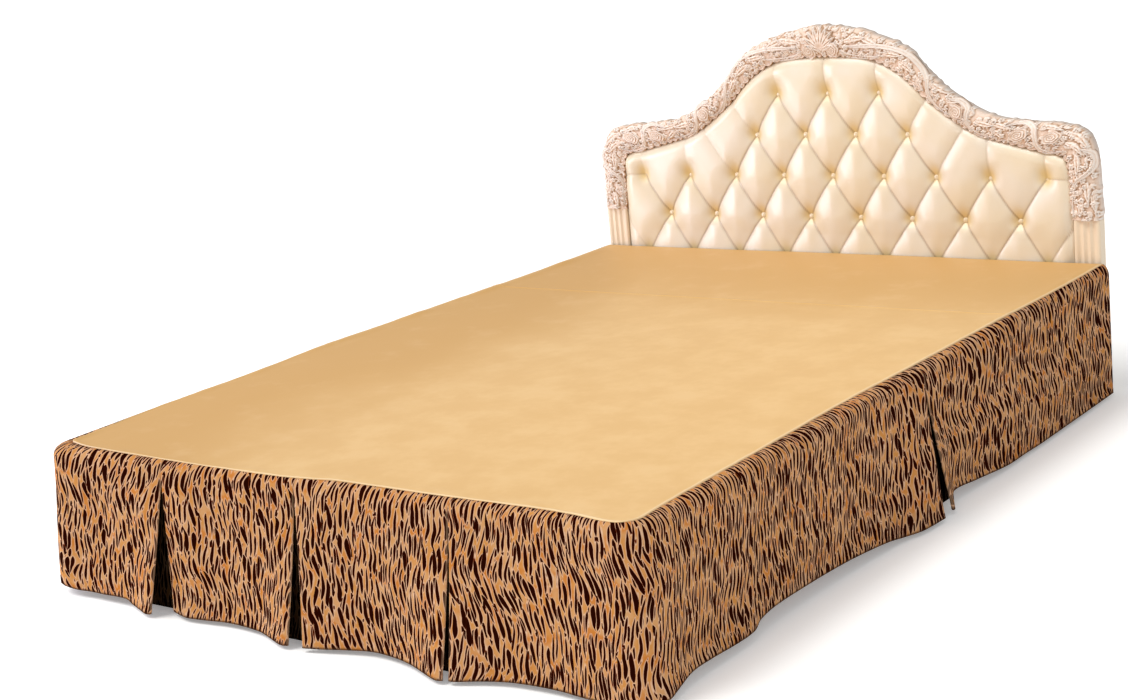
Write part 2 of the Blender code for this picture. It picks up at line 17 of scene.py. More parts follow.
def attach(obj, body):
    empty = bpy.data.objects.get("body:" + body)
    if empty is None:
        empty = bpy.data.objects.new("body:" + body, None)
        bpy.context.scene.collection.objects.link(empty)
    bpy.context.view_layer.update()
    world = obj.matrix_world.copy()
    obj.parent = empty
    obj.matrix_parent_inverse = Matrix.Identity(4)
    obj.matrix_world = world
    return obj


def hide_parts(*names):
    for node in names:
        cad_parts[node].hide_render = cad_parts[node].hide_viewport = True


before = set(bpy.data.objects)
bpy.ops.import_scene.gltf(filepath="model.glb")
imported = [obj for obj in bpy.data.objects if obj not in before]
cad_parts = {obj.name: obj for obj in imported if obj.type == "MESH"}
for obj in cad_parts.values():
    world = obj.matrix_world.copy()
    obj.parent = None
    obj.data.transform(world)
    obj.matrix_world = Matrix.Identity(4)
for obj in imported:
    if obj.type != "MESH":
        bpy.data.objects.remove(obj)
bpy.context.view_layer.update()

# Sizes shared with the model

CLOTH = 0.0015              # thickness of every cloth
NEAR = 0.0004               # gap that parts two pieces that touch
TOP_Z = 0.335               # upper face of the gold cloth
SEAM_HALF_WIDTH = 0.738     # middle of the bed to the side seam of the gold cloth
SEAM_FOOT_Y = -1.008        # seam at the foot
BED_HEAD_Y = 1.020          # end of the cloths at the headboard
CORNER_RADIUS = 0.038       # corner of the gold cloth, in plan
CROSS_SEAM_Y = 0.480        # seam between the two gold cloths
FALL_OUT = 0.022            # how far a width rolls out past the seam
FALL_Z = 0.308              # where the roll ends and the fall begins
OPEN_POWER = 1.3            # folds open faster towards the hem
SHIFT_REACH = 0.55          # a slanted pleat pulls its width this far along
TURNED_BACK = 0.040         # width of cloth turned behind each pleat edge
PLEAT_LAP = 0.052           # the cloth behind a pleat reaches this far past its edges
PLEAT_SLACK = 0.003         # and hangs this far further in at its hem

BOARD_FRONT_Y = 1.030       # front of the headboard's posts
BOARD_BACK_Y = 1.062
POST_INNER_X = 0.670
POST_OUTER_X = 0.737
POST_TOP_Z = 0.440
PANEL_BOTTOM_Z = 0.200
PANEL_FRONT_Y = 1.024       # the fullest part of a pillow of the padding
PANEL_BACK_Y = 1.059
PADDING_NEAR = 0.0006
BUTTON_PITCH_X = 0.150
BUTTON_PITCH_Z = 0.220
BUTTON_Z = 0.540
BUTTON_MARGIN = 0.042

# How far the gold seam stands out from its straight line. Columns: place along the seam, outward.
SEAM_WAVES = [
    (-2.73, -0.004), (-2.38, -0.012), (-2.05, 0.0), (-1.74, 0.006), (-1.53, 0.01), (-1.31, -0.004),
    (-1.02, -0.004), (-0.88, -0.015), (-0.76, -0.023), (-0.71, -0.02), (-0.64, -0.006), (-0.42, 0.005),
    (-0.19, 0.01), (-0.04, 0.007), (0.07, -0.007), (0.29, -0.006), (0.53, -0.009), (0.61, -0.005),
    (0.69, 0.006), (0.83, 0.0), (1.06, -0.003), (1.22, -0.005), (1.5, -0.01), (1.72, -0.004),
    (2.09, 0.001), (2.47, 0.01), (2.75, 0.008),
]

# Places run along the seam from the middle of the foot: left is negative, right is positive.
# Columns: top of the pleat, hem of the edge on its left, hem of the edge on its right, hem of its back.
PLEATS = {
    "side_left": (-1.758, -1.815, -1.765, 0.014),
    "foot_1": (-0.394, -0.461, -0.425, 0.011),
    "foot_2": (-0.026, -0.061, -0.025, 0.012),
    "foot_3": (0.354, 0.334, 0.345, 0.012),
    "side_right": (1.758, 1.765, 1.815, 0.014),
}

# The hem of each width. Columns: place along the seam, outward from the fall, height above the floor.
WIDTHS = {
    "drop_side_left": [
        (-2.75, 0.0, 0.01), (-2.45, 0.004, 0.01), (-2.2, -0.004, 0.014), (-2.0, -0.006, 0.018),
        (-1.9, 0.002, 0.015), (-1.815, 0.014, 0.01),
    ],
    "drop_corner_left": [
        (-1.765, 0.008, 0.012), (-1.68, 0.0, 0.014), (-1.45, 0.006, 0.011), (-1.2, -0.006, 0.016),
        (-1.0, 0.008, 0.014), (-0.85, 0.03, 0.018), (-0.76, 0.042, 0.024), (-0.739, 0.034, 0.024),
        (-0.717, 0.004, 0.018), (-0.69, -0.006, 0.017), (-0.637, -0.005, 0.0175), (-0.563, -0.004, 0.018),
        (-0.537, 0.002, 0.0115), (-0.5, 0.016, 0.01), (-0.472, 0.026, 0.009), (-0.461, 0.024, 0.009),
    ],
    "drop_foot_left": [
        (-0.425, -0.007, 0.01), (-0.371, 0.008, 0.01), (-0.328, 0.004, 0.01), (-0.254, -0.004, 0.011),
        (-0.167, 0.003, 0.01), (-0.119, 0.02, 0.009), (-0.08, 0.036, 0.009), (-0.061, 0.036, 0.009),
    ],
    "drop_foot_right": [
        (-0.025, 0.032, 0.009), (0.013, 0.022, 0.009), (0.068, 0.006, 0.01), (0.125, -0.006, 0.011),
        (0.184, -0.001, 0.011), (0.234, 0.011, 0.01), (0.283, 0.031, 0.009), (0.32, 0.045, 0.008),
        (0.334, 0.044, 0.008),
    ],
    "drop_corner_right": [
        (0.345, 0.039, 0.008), (0.358, 0.037, 0.008), (0.404, 0.017, 0.009), (0.454, 0.002, 0.01),
        (0.51, -0.003, 0.011), (0.569, -0.003, 0.011), (0.613, 0.001, 0.01), (0.7, 0.006, 0.008),
        (0.735, 0.008, 0.008), (0.78, 0.002, 0.015), (0.84, -0.006, 0.024), (0.9, -0.007, 0.024),
        (0.992, -0.006, 0.02), (1.053, -0.007, 0.021), (1.085, -0.014, 0.029), (1.143, -0.017, 0.034),
        (1.257, -0.017, 0.033), (1.351, -0.015, 0.031), (1.438, -0.011, 0.028), (1.563, -0.003, 0.019),
        (1.632, 0.005, 0.01), (1.677, 0.019, 0.009), (1.763, 0.027, 0.009),
    ],
    "drop_side_right": [
        (1.815, 0.024, 0.01), (1.846, 0.006, 0.022), (1.881, -0.009, 0.029), (1.989, -0.008, 0.02),
        (2.13, 0.001, 0.011), (2.229, 0.001, 0.01), (2.312, 0.002, 0.009), (2.75, 0.0, 0.01),
    ],
}

# Half of the crest, from a post's top to the crown. Columns: inner edge x, z, outer edge x, z.
CREST = [
    (0.67, 0.4404, 0.737, 0.4404), (0.668, 0.5, 0.736, 0.508), (0.666, 0.555, 0.733, 0.585),
    (0.654, 0.597, 0.722, 0.636), (0.628, 0.607, 0.7, 0.663), (0.59, 0.613, 0.65, 0.677),
    (0.52, 0.63, 0.568, 0.683), (0.468, 0.643, 0.503, 0.69), (0.425, 0.656, 0.455, 0.702),
    (0.38, 0.681, 0.405, 0.726), (0.342, 0.706, 0.367, 0.75), (0.308, 0.732, 0.335, 0.773),
    (0.278, 0.758, 0.307, 0.799), (0.25, 0.786, 0.281, 0.826), (0.22, 0.811, 0.254, 0.857),
    (0.185, 0.832, 0.22, 0.881), (0.145, 0.849, 0.178, 0.9), (0.1, 0.857, 0.13, 0.915),
    (0.05, 0.86, 0.066, 0.931), (0.0, 0.861, 0.0, 0.938),
]

# Sizes of the finer surfaces

COLUMN = 0.008              # spacing of a width's columns
ROLL_STEPS = 7
FALL_STEPS = 26
HEM = 0.013                 # height of the turned-up hem
HEM_SHARE = HEM / (FALL_Z - HEM)
HEM_SWELL = 0.0006
HEM_SHADE_LINE = 0.016            # the dark line at the hem, partly the hem's own dark edge and partly painted shade under its roll, as a share of the fall
HEM_SOFT = 0.006            # the swell and the line fade in over this share
FOLD_TOP = 0.0036           # width's front to the layer turned behind it, at the top
FOLD_HEM = 0.0054           # the same, at the hem
PLEAT_COLUMNS = 17          # of the cloth behind a pleat
PRINT_APART = 5.0           # keeps the print behind a pleat apart from the widths' own
BURY = 0.004                # a small form's rim lies this far under what it sits on

# Soft creases in the widths. Columns: place at the top, place at the hem, first level, last level,
# half width, outward. A level is 1 where the fall begins and 2 at the hem.
CREASES = [
    (-0.66, -0.655, 0.6, 1.9, 0.02, 0.003), (-0.585, -0.6, 0.9, 2.0, 0.024, -0.003),
    (-0.455, -0.5, 0.4, 1.6, 0.016, 0.0035), (-0.34, -0.33, 0.6, 1.7, 0.022, 0.003),
    (-0.262, -0.24, 0.8, 2.0, 0.03, -0.003), (-0.165, -0.19, 0.5, 1.5, 0.02, 0.0025),
    (-0.075, -0.11, 0.3, 1.6, 0.018, 0.004), (0.045, 0.03, 0.3, 1.5, 0.018, 0.0035),
    (0.11, 0.12, 0.7, 1.9, 0.024, -0.0025), (0.215, 0.205, 0.5, 1.7, 0.022, 0.0025),
    (0.305, 0.275, 0.2, 1.45, 0.016, 0.005), (0.395, 0.42, 0.2, 1.5, 0.017, 0.0055),
    (0.47, 0.49, 0.6, 1.9, 0.026, -0.003), (0.56, 0.555, 0.3, 1.5, 0.022, 0.003),
    (0.64, 0.65, 0.4, 2.0, 0.018, 0.003), (0.69, 0.69, 0.5, 2.0, 0.014, -0.0025),
    (0.8, 0.79, 0.6, 2.0, 0.024, 0.003), (0.93, 0.95, 0.9, 2.0, 0.04, -0.003),
    (1.06, 1.04, 0.5, 1.8, 0.03, 0.0025), (1.21, 1.23, 0.9, 2.0, 0.045, -0.003),
    (1.38, 1.4, 0.6, 2.0, 0.035, 0.003), (1.53, 1.59, 0.5, 1.9, 0.03, -0.0025),
    (1.69, 1.684, 0.4, 1.8, 0.02, 0.005), (1.812, 1.885, 0.5, 1.8, 0.024, 0.003),
    (1.9, 1.98, 0.7, 2.0, 0.04, -0.003), (2.15, 2.18, 0.6, 1.9, 0.04, 0.003),
    (-0.8, -0.79, 0.6, 2.0, 0.024, 0.003), (-1.05, -1.06, 0.6, 2.0, 0.04, -0.003),
    (-1.32, -1.33, 0.6, 1.9, 0.035, 0.003), (-1.56, -1.65, 0.5, 1.8, 0.026, 0.0035),
    (-1.76, -1.93, 0.5, 1.8, 0.026, 0.003), (-2.1, -2.12, 0.6, 2.0, 0.04, -0.003),
]

# The print is finest just past the right front corner and coarser away from it, most of all past the
# right side's pleat. Columns: place along the seam, pitch.
PRINT_PITCH = [
    (-2.75, 0.018), (-0.76, 0.0182), (-0.1, 0.0162), (0.5, 0.014), (0.74, 0.0136),
    (0.95, 0.0132), (1.3, 0.0146), (1.6, 0.0176),
    (1.69, 0.0205), (1.765, 0.0212), (1.84, 0.02), (2.75, 0.0225),
]
FINE_PITCH = 0.0135         # the pitch that the print is drawn at, before the table stretches it
STROKE_PITCH = 0.86 * FINE_PITCH
TICKING_PITCH = 0.045       # the box spring's stripes


# Small tools

def ease(value):
    """0 to 1 with soft ends."""
    value = clamp(value)
    return value * value * (3.0 - 2.0 * value)


def mix(low, high, share):
    return low + (high - low) * share


def clamp(value):
    return min(max(value, 0.0), 1.0)


def bell(value, reach):
    """1 at nought, falling away on both sides over a reach."""
    return np.exp(-(value / reach) ** 2)


def read_curve(rows, place, column):
    """A smooth curve through one column of a table, read at a place in its first column."""
    if place <= rows[0][0]:
        return rows[0][column]
    if place >= rows[-1][0]:
        return rows[-1][column]
    index = max(i for i in range(len(rows) - 1) if rows[i][0] <= place)
    start, end = rows[index], rows[index + 1]
    span = end[0] - start[0]
    before = rows[index - 1] if index > 0 else start
    after = rows[index + 2] if index + 2 < len(rows) else end
    slope_start = (end[column] - before[column]) / (end[0] - before[0])
    slope_end = (after[column] - start[column]) / (after[0] - start[0])
    share = (place - start[0]) / span
    square, cube = share ** 2, share ** 3
    return ((2 * cube - 3 * square + 1) * start[column] + (cube - 2 * square + share) * span * slope_start
            + (3 * square - 2 * cube) * end[column] + (cube - square) * span * slope_end)


def add_object(name, data):
    made = bpy.data.objects.new(name, data)
    bpy.context.scene.collection.objects.link(made)
    return made


def add_piece(name, points, faces, materials, replaces=(), uv=None, marks=None):
    """A mesh piece that rides on the bed.

    uv holds one pair for each point, and each of the marks a value for each point, for the material to read.
    """
    mesh = bpy.data.meshes.new(name)
    mesh.from_pydata([tuple(point) for point in points], [], faces)
    if uv is not None:
        layer = mesh.uv_layers.new(name="cloth")
        corner_points = np.empty(len(mesh.loops), dtype=np.int32)
        mesh.loops.foreach_get("vertex_index", corner_points)
        layer.data.foreach_set("uv", np.asarray(uv, dtype=np.float32)[corner_points].ravel())
    work = bmesh.new()
    work.from_mesh(mesh)
    bmesh.ops.recalc_face_normals(work, faces=work.faces)
    work.to_mesh(mesh)
    work.free()
    for made in materials:
        mesh.materials.append(made)
    for mark, values in (marks or {}).items():
        attribute = mesh.attributes.new(mark, "FLOAT", "POINT")
        attribute.data.foreach_set("value", np.asarray(values, dtype=np.float32))
    mesh.shade_smooth()
    piece = add_object(name, mesh)
    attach(piece, "root")
    if replaces:
        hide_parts(*replaces)
    return piece


def grid_faces(rows, columns):
    """Faces of a grid of points, row by row."""
    corners = [i * columns + j for i in range(rows - 1) for j in range(columns - 1)]
    return [(a, a + 1, a + columns + 1, a + columns) for a in corners]


def rim_of_grid(rows, columns):
    """Indices round a grid's border, in order."""
    rim = [(0, j) for j in range(columns)]
    rim += [(i, columns - 1) for i in range(1, rows)]
    rim += [(rows - 1, j) for j in range(columns - 2, -1, -1)]
    rim += [(i, 0) for i in range(rows - 2, 0, -1)]
    return [i * columns + j for i, j in rim]


def sheet_faces(rows, columns):
    """A closed sheet: a front grid of points, a back grid after it, and the rim between them."""
    count = rows * columns
    front, rim = grid_faces(rows, columns), rim_of_grid(rows, columns)
    back = [tuple(count + i for i in face[::-1]) for face in front]
    return front + back + [(a, count + a, count + b, b) for a, b in zip(rim, rim[1:] + rim[:1])]


def tube_faces(count, ring):
    """A tube of count rings of points, one after another, with a face at each end."""
    faces = []
    for i in range(count - 1):
        for j in range(ring):
            a, b = i * ring + j, i * ring + (j + 1) % ring
            faces.append((a, b, b + ring, a + ring))
    return faces + [tuple(range(ring)), tuple(range(count * ring - 1, (count - 1) * ring - 1, -1))]


def dome_faces(rings, spokes):
    """Rings of points about a middle one, closed underneath by one face."""
    faces = []
    for j in range(spokes):
        k = (j + 1) % spokes
        faces.append((0, 1 + j, 1 + k))
        for i in range(rings - 1):
            a = 1 + i * spokes
            faces.append((a + j, a + spokes + j, a + spokes + k, a + k))
    last = 1 + (rings - 1) * spokes
    return faces + [tuple(range(last + spokes - 1, last - 1, -1))]


def circle(radius, spokes):
    """Points round a circle."""
    angles = [math.tau * j / spokes for j in range(spokes)]
    return [(radius * math.cos(angle), radius * math.sin(angle)) for angle in angles]


# Materials

class Shader:
    """A Principled material, with short calls that add nodes and link them."""

    def __init__(self, name, base):
        self.base, self.normal = base, None
        self.material = bpy.data.materials.new(name)
        self.material.use_nodes = True
        self.nodes = self.material.node_tree.nodes
        self.links = self.material.node_tree.links
        self.surface = self.nodes["Principled BSDF"]

    def put(self, socket, value):
        """Links a socket or sets it. A colour needs no alpha."""
        if isinstance(value, bpy.types.NodeSocket):
            self.links.new(value, socket)
        elif value is not None:
            socket.default_value = (*value, 1.0) if socket.type == "RGBA" else value

    def add(self, kind, inputs=None, **settings):
        made = self.nodes.new("ShaderNode" + kind)
        for key, value in settings.items():
            setattr(made, key, value)
        for key, value in (inputs or {}).items():
            self.put(made.inputs[key], value)
        return made

    def math(self, operation, first, second=None, third=None):
        return self.add("Math", {0: first, 1: second, 2: third}, operation=operation).outputs[0]

    def span(self, value, low, high):
        """Brings a value of 0 to 1 to a range."""
        return self.math("MULTIPLY_ADD", value, high - low, low)

    def steps(self, value, low, high, to_low=0.0, to_high=1.0):
        """A soft step of a value from low to high."""
        inputs = {"Value": value, "From Min": low, "From Max": high, "To Min": to_low, "To Max": to_high}
        return self.add("MapRange", inputs, interpolation_type="SMOOTHSTEP").outputs[0]

    def paint(self, share, colour):
        """Lays a colour over the base."""
        self.base = self.add("Mix", {0: share, 6: self.base, 7: colour}, data_type="RGBA").outputs[2]

    def vector(self, x, y, z=0.0):
        return self.add("CombineXYZ", {0: x, 1: y, 2: z}).outputs[0]

    def apart(self, vector):
        return self.add("SeparateXYZ", {0: vector}).outputs

    def mark(self, name):
        """A value that the mesh holds at its points."""
        return self.add("Attribute", attribute_name=name).outputs["Fac"]

    def noise(self, vector, scale, detail=2.0, roughness=0.5):
        """Noise of 0 to 1. A scale of three numbers stretches it."""
        if isinstance(scale, tuple):
            vector = self.add("VectorMath", {0: vector, 1: scale}, operation="MULTIPLY").outputs[0]
            scale = 1.0
        inputs = {"Vector": vector, "Scale": scale, "Detail": detail, "Roughness": roughness}
        return self.add("TexNoise", inputs).outputs["Fac"]

    def emboss(self, height, strength, distance):
        """Lays a bump over the surface."""
        inputs = {"Height": height, "Strength": strength, "Distance": distance, "Normal": self.normal}
        self.normal = self.add("Bump", inputs).outputs[0]

    def place(self):
        return self.add("TexCoord").outputs["Object"]

    def cloth_place(self):
        return self.add("UVMap", uv_map="cloth").outputs[0]

    def finish(self, **sockets):
        for name, value in {"Base_Color": self.base, "Normal": self.normal, **sockets}.items():
            self.put(self.surface.inputs[name.replace("_", " ")], value)
        return self.material


def stroke_layer(shader, u, v, pitch, length, half_width, seed):
    """Tapered strokes end to end in columns: the distance outside the nearest stroke, in metres."""
    column = shader.math("FLOOR", shader.math("DIVIDE", u, pitch))
    phase = shader.add("TexWhiteNoise", {"Vector": shader.vector(column, seed)}, noise_dimensions="2D")
    run = shader.math("ADD", shader.math("DIVIDE", v, length), shader.math("MULTIPLY", phase.outputs[0], 7.0))
    row = shader.math("FLOOR", run)
    chances = shader.add("TexWhiteNoise", {"Vector": shader.vector(column, row, seed)},
                         noise_dimensions="3D").outputs["Color"]
    first, second, third = shader.apart(chances)[:3]
    middle = shader.math("MULTIPLY_ADD", shader.math("ADD", column, 0.5), pitch,
                         shader.span(first, -0.18 * pitch, 0.18 * pitch))
    across = shader.math("SUBTRACT", u, middle)
    along = shader.math("MULTIPLY", shader.math("SUBTRACT", shader.math("SUBTRACT", run, row), 0.5), length)
    lean = shader.span(second, -0.15, 0.15)
    across = shader.math("SUBTRACT", across, shader.math("MULTIPLY", along, lean))
    half_length = shader.span(third, 0.33 * length, 0.5 * length)
    share = shader.math("DIVIDE", along, half_length)
    square = shader.math("MULTIPLY", share, share)
    taper = shader.math("SUBTRACT", 1.0, shader.math("POWER", square, 1.8))
    bend = shader.span(first, -0.0025, 0.0025)
    across = shader.math("SUBTRACT", across, shader.math("MULTIPLY", square, bend))
    wide = shader.span(shader.math("POWER", second, 1.5), *half_width)
    skew = shader.math("MULTIPLY_ADD", share, shader.span(third, -0.6, 0.6), 1.0)
    wide = shader.math("MULTIPLY", wide, shader.math("MULTIPLY", taper, skew))
    return shader.math("SUBTRACT", shader.math("ABSOLUTE", across), wide)


def striped_print(name="striped_print", shade=1.0):
    """Short dark tapered stripes on a mottled tan satin. A shade under 1 darkens every colour of the print:
    painted shade for the cloth inside a pleat.
    """

    def tint(red, green, blue):
        return (red * shade, green * shade, blue * shade)

    shader = Shader(name, tint(0.53, 0.280, 0.122))
    place = shader.cloth_place()
    sway = shader.noise(place, (2.2, 5.5, 1.0), 1.0)
    waver = shader.noise(place, (13.0, 17.0, 1.0), 1.0)
    jitter = shader.noise(place, (120.0, 90.0, 1.0), 1.0)
    u, v = shader.apart(place)[:2]
    u = shader.math("ADD", u, shader.span(sway, -0.042, 0.043))
    u = shader.math("ADD", u, shader.span(waver, -0.0075, 0.0075))
    fine_u = shader.math("ADD", u, shader.span(jitter, -0.0007, 0.0007))
    other_u = shader.math("ADD", fine_u, shader.math("MULTIPLY", waver, -0.028))
    bold = stroke_layer(shader, fine_u, v, STROKE_PITCH, 0.060, (0.0018, 0.0044), 3.0)
    thin = stroke_layer(shader, other_u, v, STROKE_PITCH, 0.048, (0.0018, 0.0033), 8.0)
    crowded = shader.math("MAXIMUM", shader.math("SUBTRACT", 0.0035, bold), 0.0)
    field = shader.math("MINIMUM", bold, shader.math("MULTIPLY_ADD", crowded, 1.1, thin))
    patches = shader.noise(place, (30.0, 14.0, 1.0), 3.0, 0.6)
    shader.paint(shader.steps(patches, 0.40, 0.58), tint(0.51, 0.225, 0.062))
    warm = shader.noise(place, (24.0, 30.0, 1.0))
    shader.paint(shader.steps(warm, 0.50, 0.66, 0.0, 0.85), tint(0.48, 0.160, 0.026))
    # each stroke's pale halo, brown edge and dark core
    shader.paint(shader.steps(field, 0.0024, 0.0008, 0.0, 0.65), tint(0.66, 0.462, 0.335))
    shader.paint(shader.steps(field, 0.0008, 0.0002), tint(0.110, 0.016, 0.003))
    shader.paint(shader.steps(field, 0.0002, -0.0006), tint(0.016, 0.002, 0.0005))
    # a paler line along each pleat's turned edge: painted highlight
    shader.paint(shader.math("MULTIPLY", shader.mark("fold"), 0.35), tint(0.60, 0.38, 0.23))
    # a dark line at the hem's bottom: partly the hem's own dark edge, partly painted shade under its roll
    shader.paint(shader.math("MULTIPLY", shader.mark("hem"), 0.8), tint(0.05, 0.02, 0.008))
    shader.emboss(shader.noise(place, (1100.0, 650.0, 1.0), 1.0), 0.25, 0.0004)
    shader.emboss(shader.noise(place, (60.0, 14.0, 1.0), 3.0), 0.22, 0.003)
    return shader.finish(Roughness=0.46, Specular_IOR_Level=0.05, IOR=1.03)


def gold_satin():
    """Plain gold cotton satin, a little uneven in tone, with painted shade towards the headboard and the left
    side, a painted highlight along its sewn rim, and a fine weave.
    """
    shader = Shader("gold_satin", (0.67, 0.415, 0.160))
    place = shader.place()
    mottle = shader.noise(place, 9.0, 4.0, 0.65)
    x, y = shader.apart(place)[:2]
    ragged = shader.span(shader.noise(place, 1.7), -0.25, 0.25)
    # darker towards the headboard and the left side: painted shade
    back = shader.steps(shader.math("ADD", y, ragged), 0.20, 0.85)
    left = shader.steps(shader.math("ADD", x, ragged), -0.10, -0.52)
    shader.paint(shader.steps(mottle, 0.35, 0.68), (0.72, 0.465, 0.196))
    shader.paint(shader.math("MAXIMUM", back, left), (0.585, 0.330, 0.096))
    shader.paint(shader.steps(mottle, 0.52, 0.75, 0.0, 0.25), (0.72, 0.48, 0.23))
    # a paler line along the sewn edge: painted highlight
    shader.paint(shader.math("MULTIPLY", shader.mark("rim"), 0.6), (0.80, 0.62, 0.38))
    shader.emboss(shader.noise(place, (900.0, 900.0, 900.0), 1.0), 0.12, 0.0003)
    shader.emboss(shader.noise(place, 14.0, 3.0), 0.12, 0.004)
    return shader.finish(Roughness=0.50, Sheen_Weight=0.10, Sheen_Roughness=0.4)


def pearl_leather():
    """Cream leather with a pearl coat, with painted yellow shade in the hollows and painted dark shade along
    the creases and below the crest.
    """
    shader = Shader("pearl_leather", (0.735, 0.625, 0.455))
    place = shader.place()
    shader.paint(shader.steps(shader.noise(place, 7.0, 3.0), 0.35, 0.7), (0.750, 0.665, 0.545))
    # yellower and darker in the dimples: painted shade
    shader.paint(shader.steps(shader.mark("hollow"), 0.05, 0.95, 0.0, 0.9), (0.72, 0.53, 0.22))
    # dark lines along the creases and below the crest: painted shade
    shader.paint(shader.math("MULTIPLY", shader.mark("crease"), 0.90), (0.26, 0.14, 0.06))
    grain = shader.add("TexVoronoi", {"Vector": place, "Scale": 700.0}).outputs["Distance"]
    shader.emboss(grain, 0.12, 0.0004)
    shader.emboss(shader.noise(place, (60.0, 60.0, 24.0), 3.0, 0.6), 0.14, 0.003)
    return shader.finish(Roughness=0.40, Coat_Weight=1.0, Coat_Roughness=0.31)


def lining():
    """The plain dust cloth on the padding's back."""
    shader = Shader("lining", (0.30, 0.26, 0.22))
    thread = shader.noise(shader.place(), (500.0, 500.0, 500.0))
    shader.paint(thread, (0.42, 0.37, 0.31))
    shader.emboss(thread, 0.3, 0.0006)
    return shader.finish(Roughness=0.9)


def carved_paint():
    """Pinkish cream paint, browner in the recesses and paler where the carving stands out."""
    shader = Shader("carved_paint", (0.72, 0.55, 0.44))
    place = shader.place()
    worn = shader.span(shader.noise(place, 160.0, 3.0, 0.6), -0.15, 0.15)
    tone = shader.math("ADD", shader.mark("relief"), worn)
    shader.paint(shader.steps(tone, 0.40, 0.75), (0.82, 0.73, 0.66))
    shader.paint(shader.steps(tone, 0.42, 0.10), (0.47, 0.29, 0.18))
    shader.emboss(shader.noise(place, (300.0, 300.0, 300.0), 3.0), 0.20, 0.002)
    return shader.finish(Roughness=0.45, Specular_IOR_Level=0.25)


def plain_paint():
    """The same paint on the plain posts and rail, a little yellower."""
    shader = Shader("plain_paint", (0.75, 0.59, 0.41))
    brush = shader.noise(shader.place(), (120.0, 120.0, 8.0), 4.0, 0.6)
    shader.paint(brush, (0.80, 0.68, 0.53))
    shader.emboss(brush, 0.08, 0.001)
    return shader.finish(Roughness=0.40)


def dark_wood():
    """Stained wood with grain along the bed."""
    shader = Shader("dark_wood", (0.10, 0.035, 0.018))
    grain = shader.noise(shader.place(), (60.0, 5.0, 60.0), 5.0, 0.6)
    shader.paint(shader.steps(grain, 0.3, 0.7), (0.24, 0.10, 0.05))
    shader.emboss(grain, 0.15, 0.001)
    return shader.finish(Roughness=0.42)


def ticking():
    """Woven cover of the box spring, with narrow stripes."""
    shader = Shader("ticking", (0.62, 0.55, 0.45))
    place = shader.place()
    wave = shader.math("SINE", shader.math("MULTIPLY", shader.apart(place)[0], math.tau / TICKING_PITCH))
    shader.paint(shader.steps(wave, 0.80, 0.92), (0.36, 0.30, 0.26))
    shader.emboss(shader.noise(place, (700.0, 700.0, 700.0)), 0.2, 0.0006)
    return shader.finish(Roughness=0.85)


# The seam line that the gold cloths and the striped widths share

FOOT_STRAIGHT = SEAM_HALF_WIDTH - CORNER_RADIUS
CORNER_ARC = CORNER_RADIUS * math.pi / 2
SIDE_START_Y = SEAM_FOOT_Y + CORNER_RADIUS
SEAM_END = FOOT_STRAIGHT + CORNER_ARC + BED_HEAD_Y - SIDE_START_Y


def seam_line(place):
    """Point and outward direction at a place along the straight-sided seam."""
    side = 1.0 if place >= 0 else -1.0
    run = abs(place)
    if run <= FOOT_STRAIGHT:
        point, outward = (run, SEAM_FOOT_Y), (0.0, -1.0)
    elif run <= FOOT_STRAIGHT + CORNER_ARC:
        angle = (run - FOOT_STRAIGHT) / CORNER_RADIUS
        outward = (math.sin(angle), -math.cos(angle))
        point = (FOOT_STRAIGHT + CORNER_RADIUS * outward[0], SIDE_START_Y + CORNER_RADIUS * outward[1])
    else:
        outward = (1.0, 0.0)
        point = (SEAM_HALF_WIDTH, SIDE_START_Y + run - FOOT_STRAIGHT - CORNER_ARC)
    return Vector((side * point[0], point[1], 0.0)), Vector((side * outward[0], outward[1], 0.0))


# Striped cloths

def fold_pitch(level):
    return mix(FOLD_TOP, FOLD_HEM, max(level - 1.0, 0.0))


def crease_height(place, level):
    """The soft creases' height at a place along the seam and a level down the fall."""
    height = 0.0
    for top, hem, first, last, half_width, outward in CREASES:
        middle = mix(top, hem, max(level - 1.0, 0.0))
        across = (place - middle) / half_width
        if abs(across) < 3.0 and first < level < last:
            length = math.sin(math.pi * (level - first) / (last - first)) ** 0.8
            height += outward * length * math.exp(-across * across)
    return height


def cloth_point(place, level, hem_out, hem_z):
    """A striped cloth's middle, at a place along the seam and a level down its fall."""
    point, outward = seam_line(place)
    depth = max(level - 1.0, 0.0)
    if level < 1.0:
        angle = level * math.pi / 2
        start = read_curve(SEAM_WAVES, place, 1) * (1.0 - level) + NEAR
        away = mix(start, FALL_OUT, math.sin(angle))
        height = mix(FALL_Z, TOP_Z - CLOTH / 2, math.cos(angle))
    else:
        away = FALL_OUT + hem_out * depth ** OPEN_POWER
        height = mix(FALL_Z, hem_z, depth)
    return point + outward * away + Vector((0.0, 0.0, height))


def width_edges():
    """For each width: its start and end along the seam, at the top and at the hem, and which are folds."""
    edge_room = FOLD_TOP / 2 + CLOTH / 2 + NEAR / 2
    hem_room = FOLD_HEM / 2 + CLOTH / 2
    pleats = list(PLEATS.values())
    edges = {}
    for index, name in enumerate(WIDTHS):
        before = pleats[index - 1] if index > 0 else None
        after = pleats[index] if index < len(pleats) else None
        start = (before[0] + edge_room, before[2] + hem_room) if before else (-SEAM_END, -SEAM_END)
        end = (after[0] - edge_room, after[1] - hem_room) if after else (SEAM_END, SEAM_END)
        edges[name] = (start, end, bool(before), bool(after))
    return edges


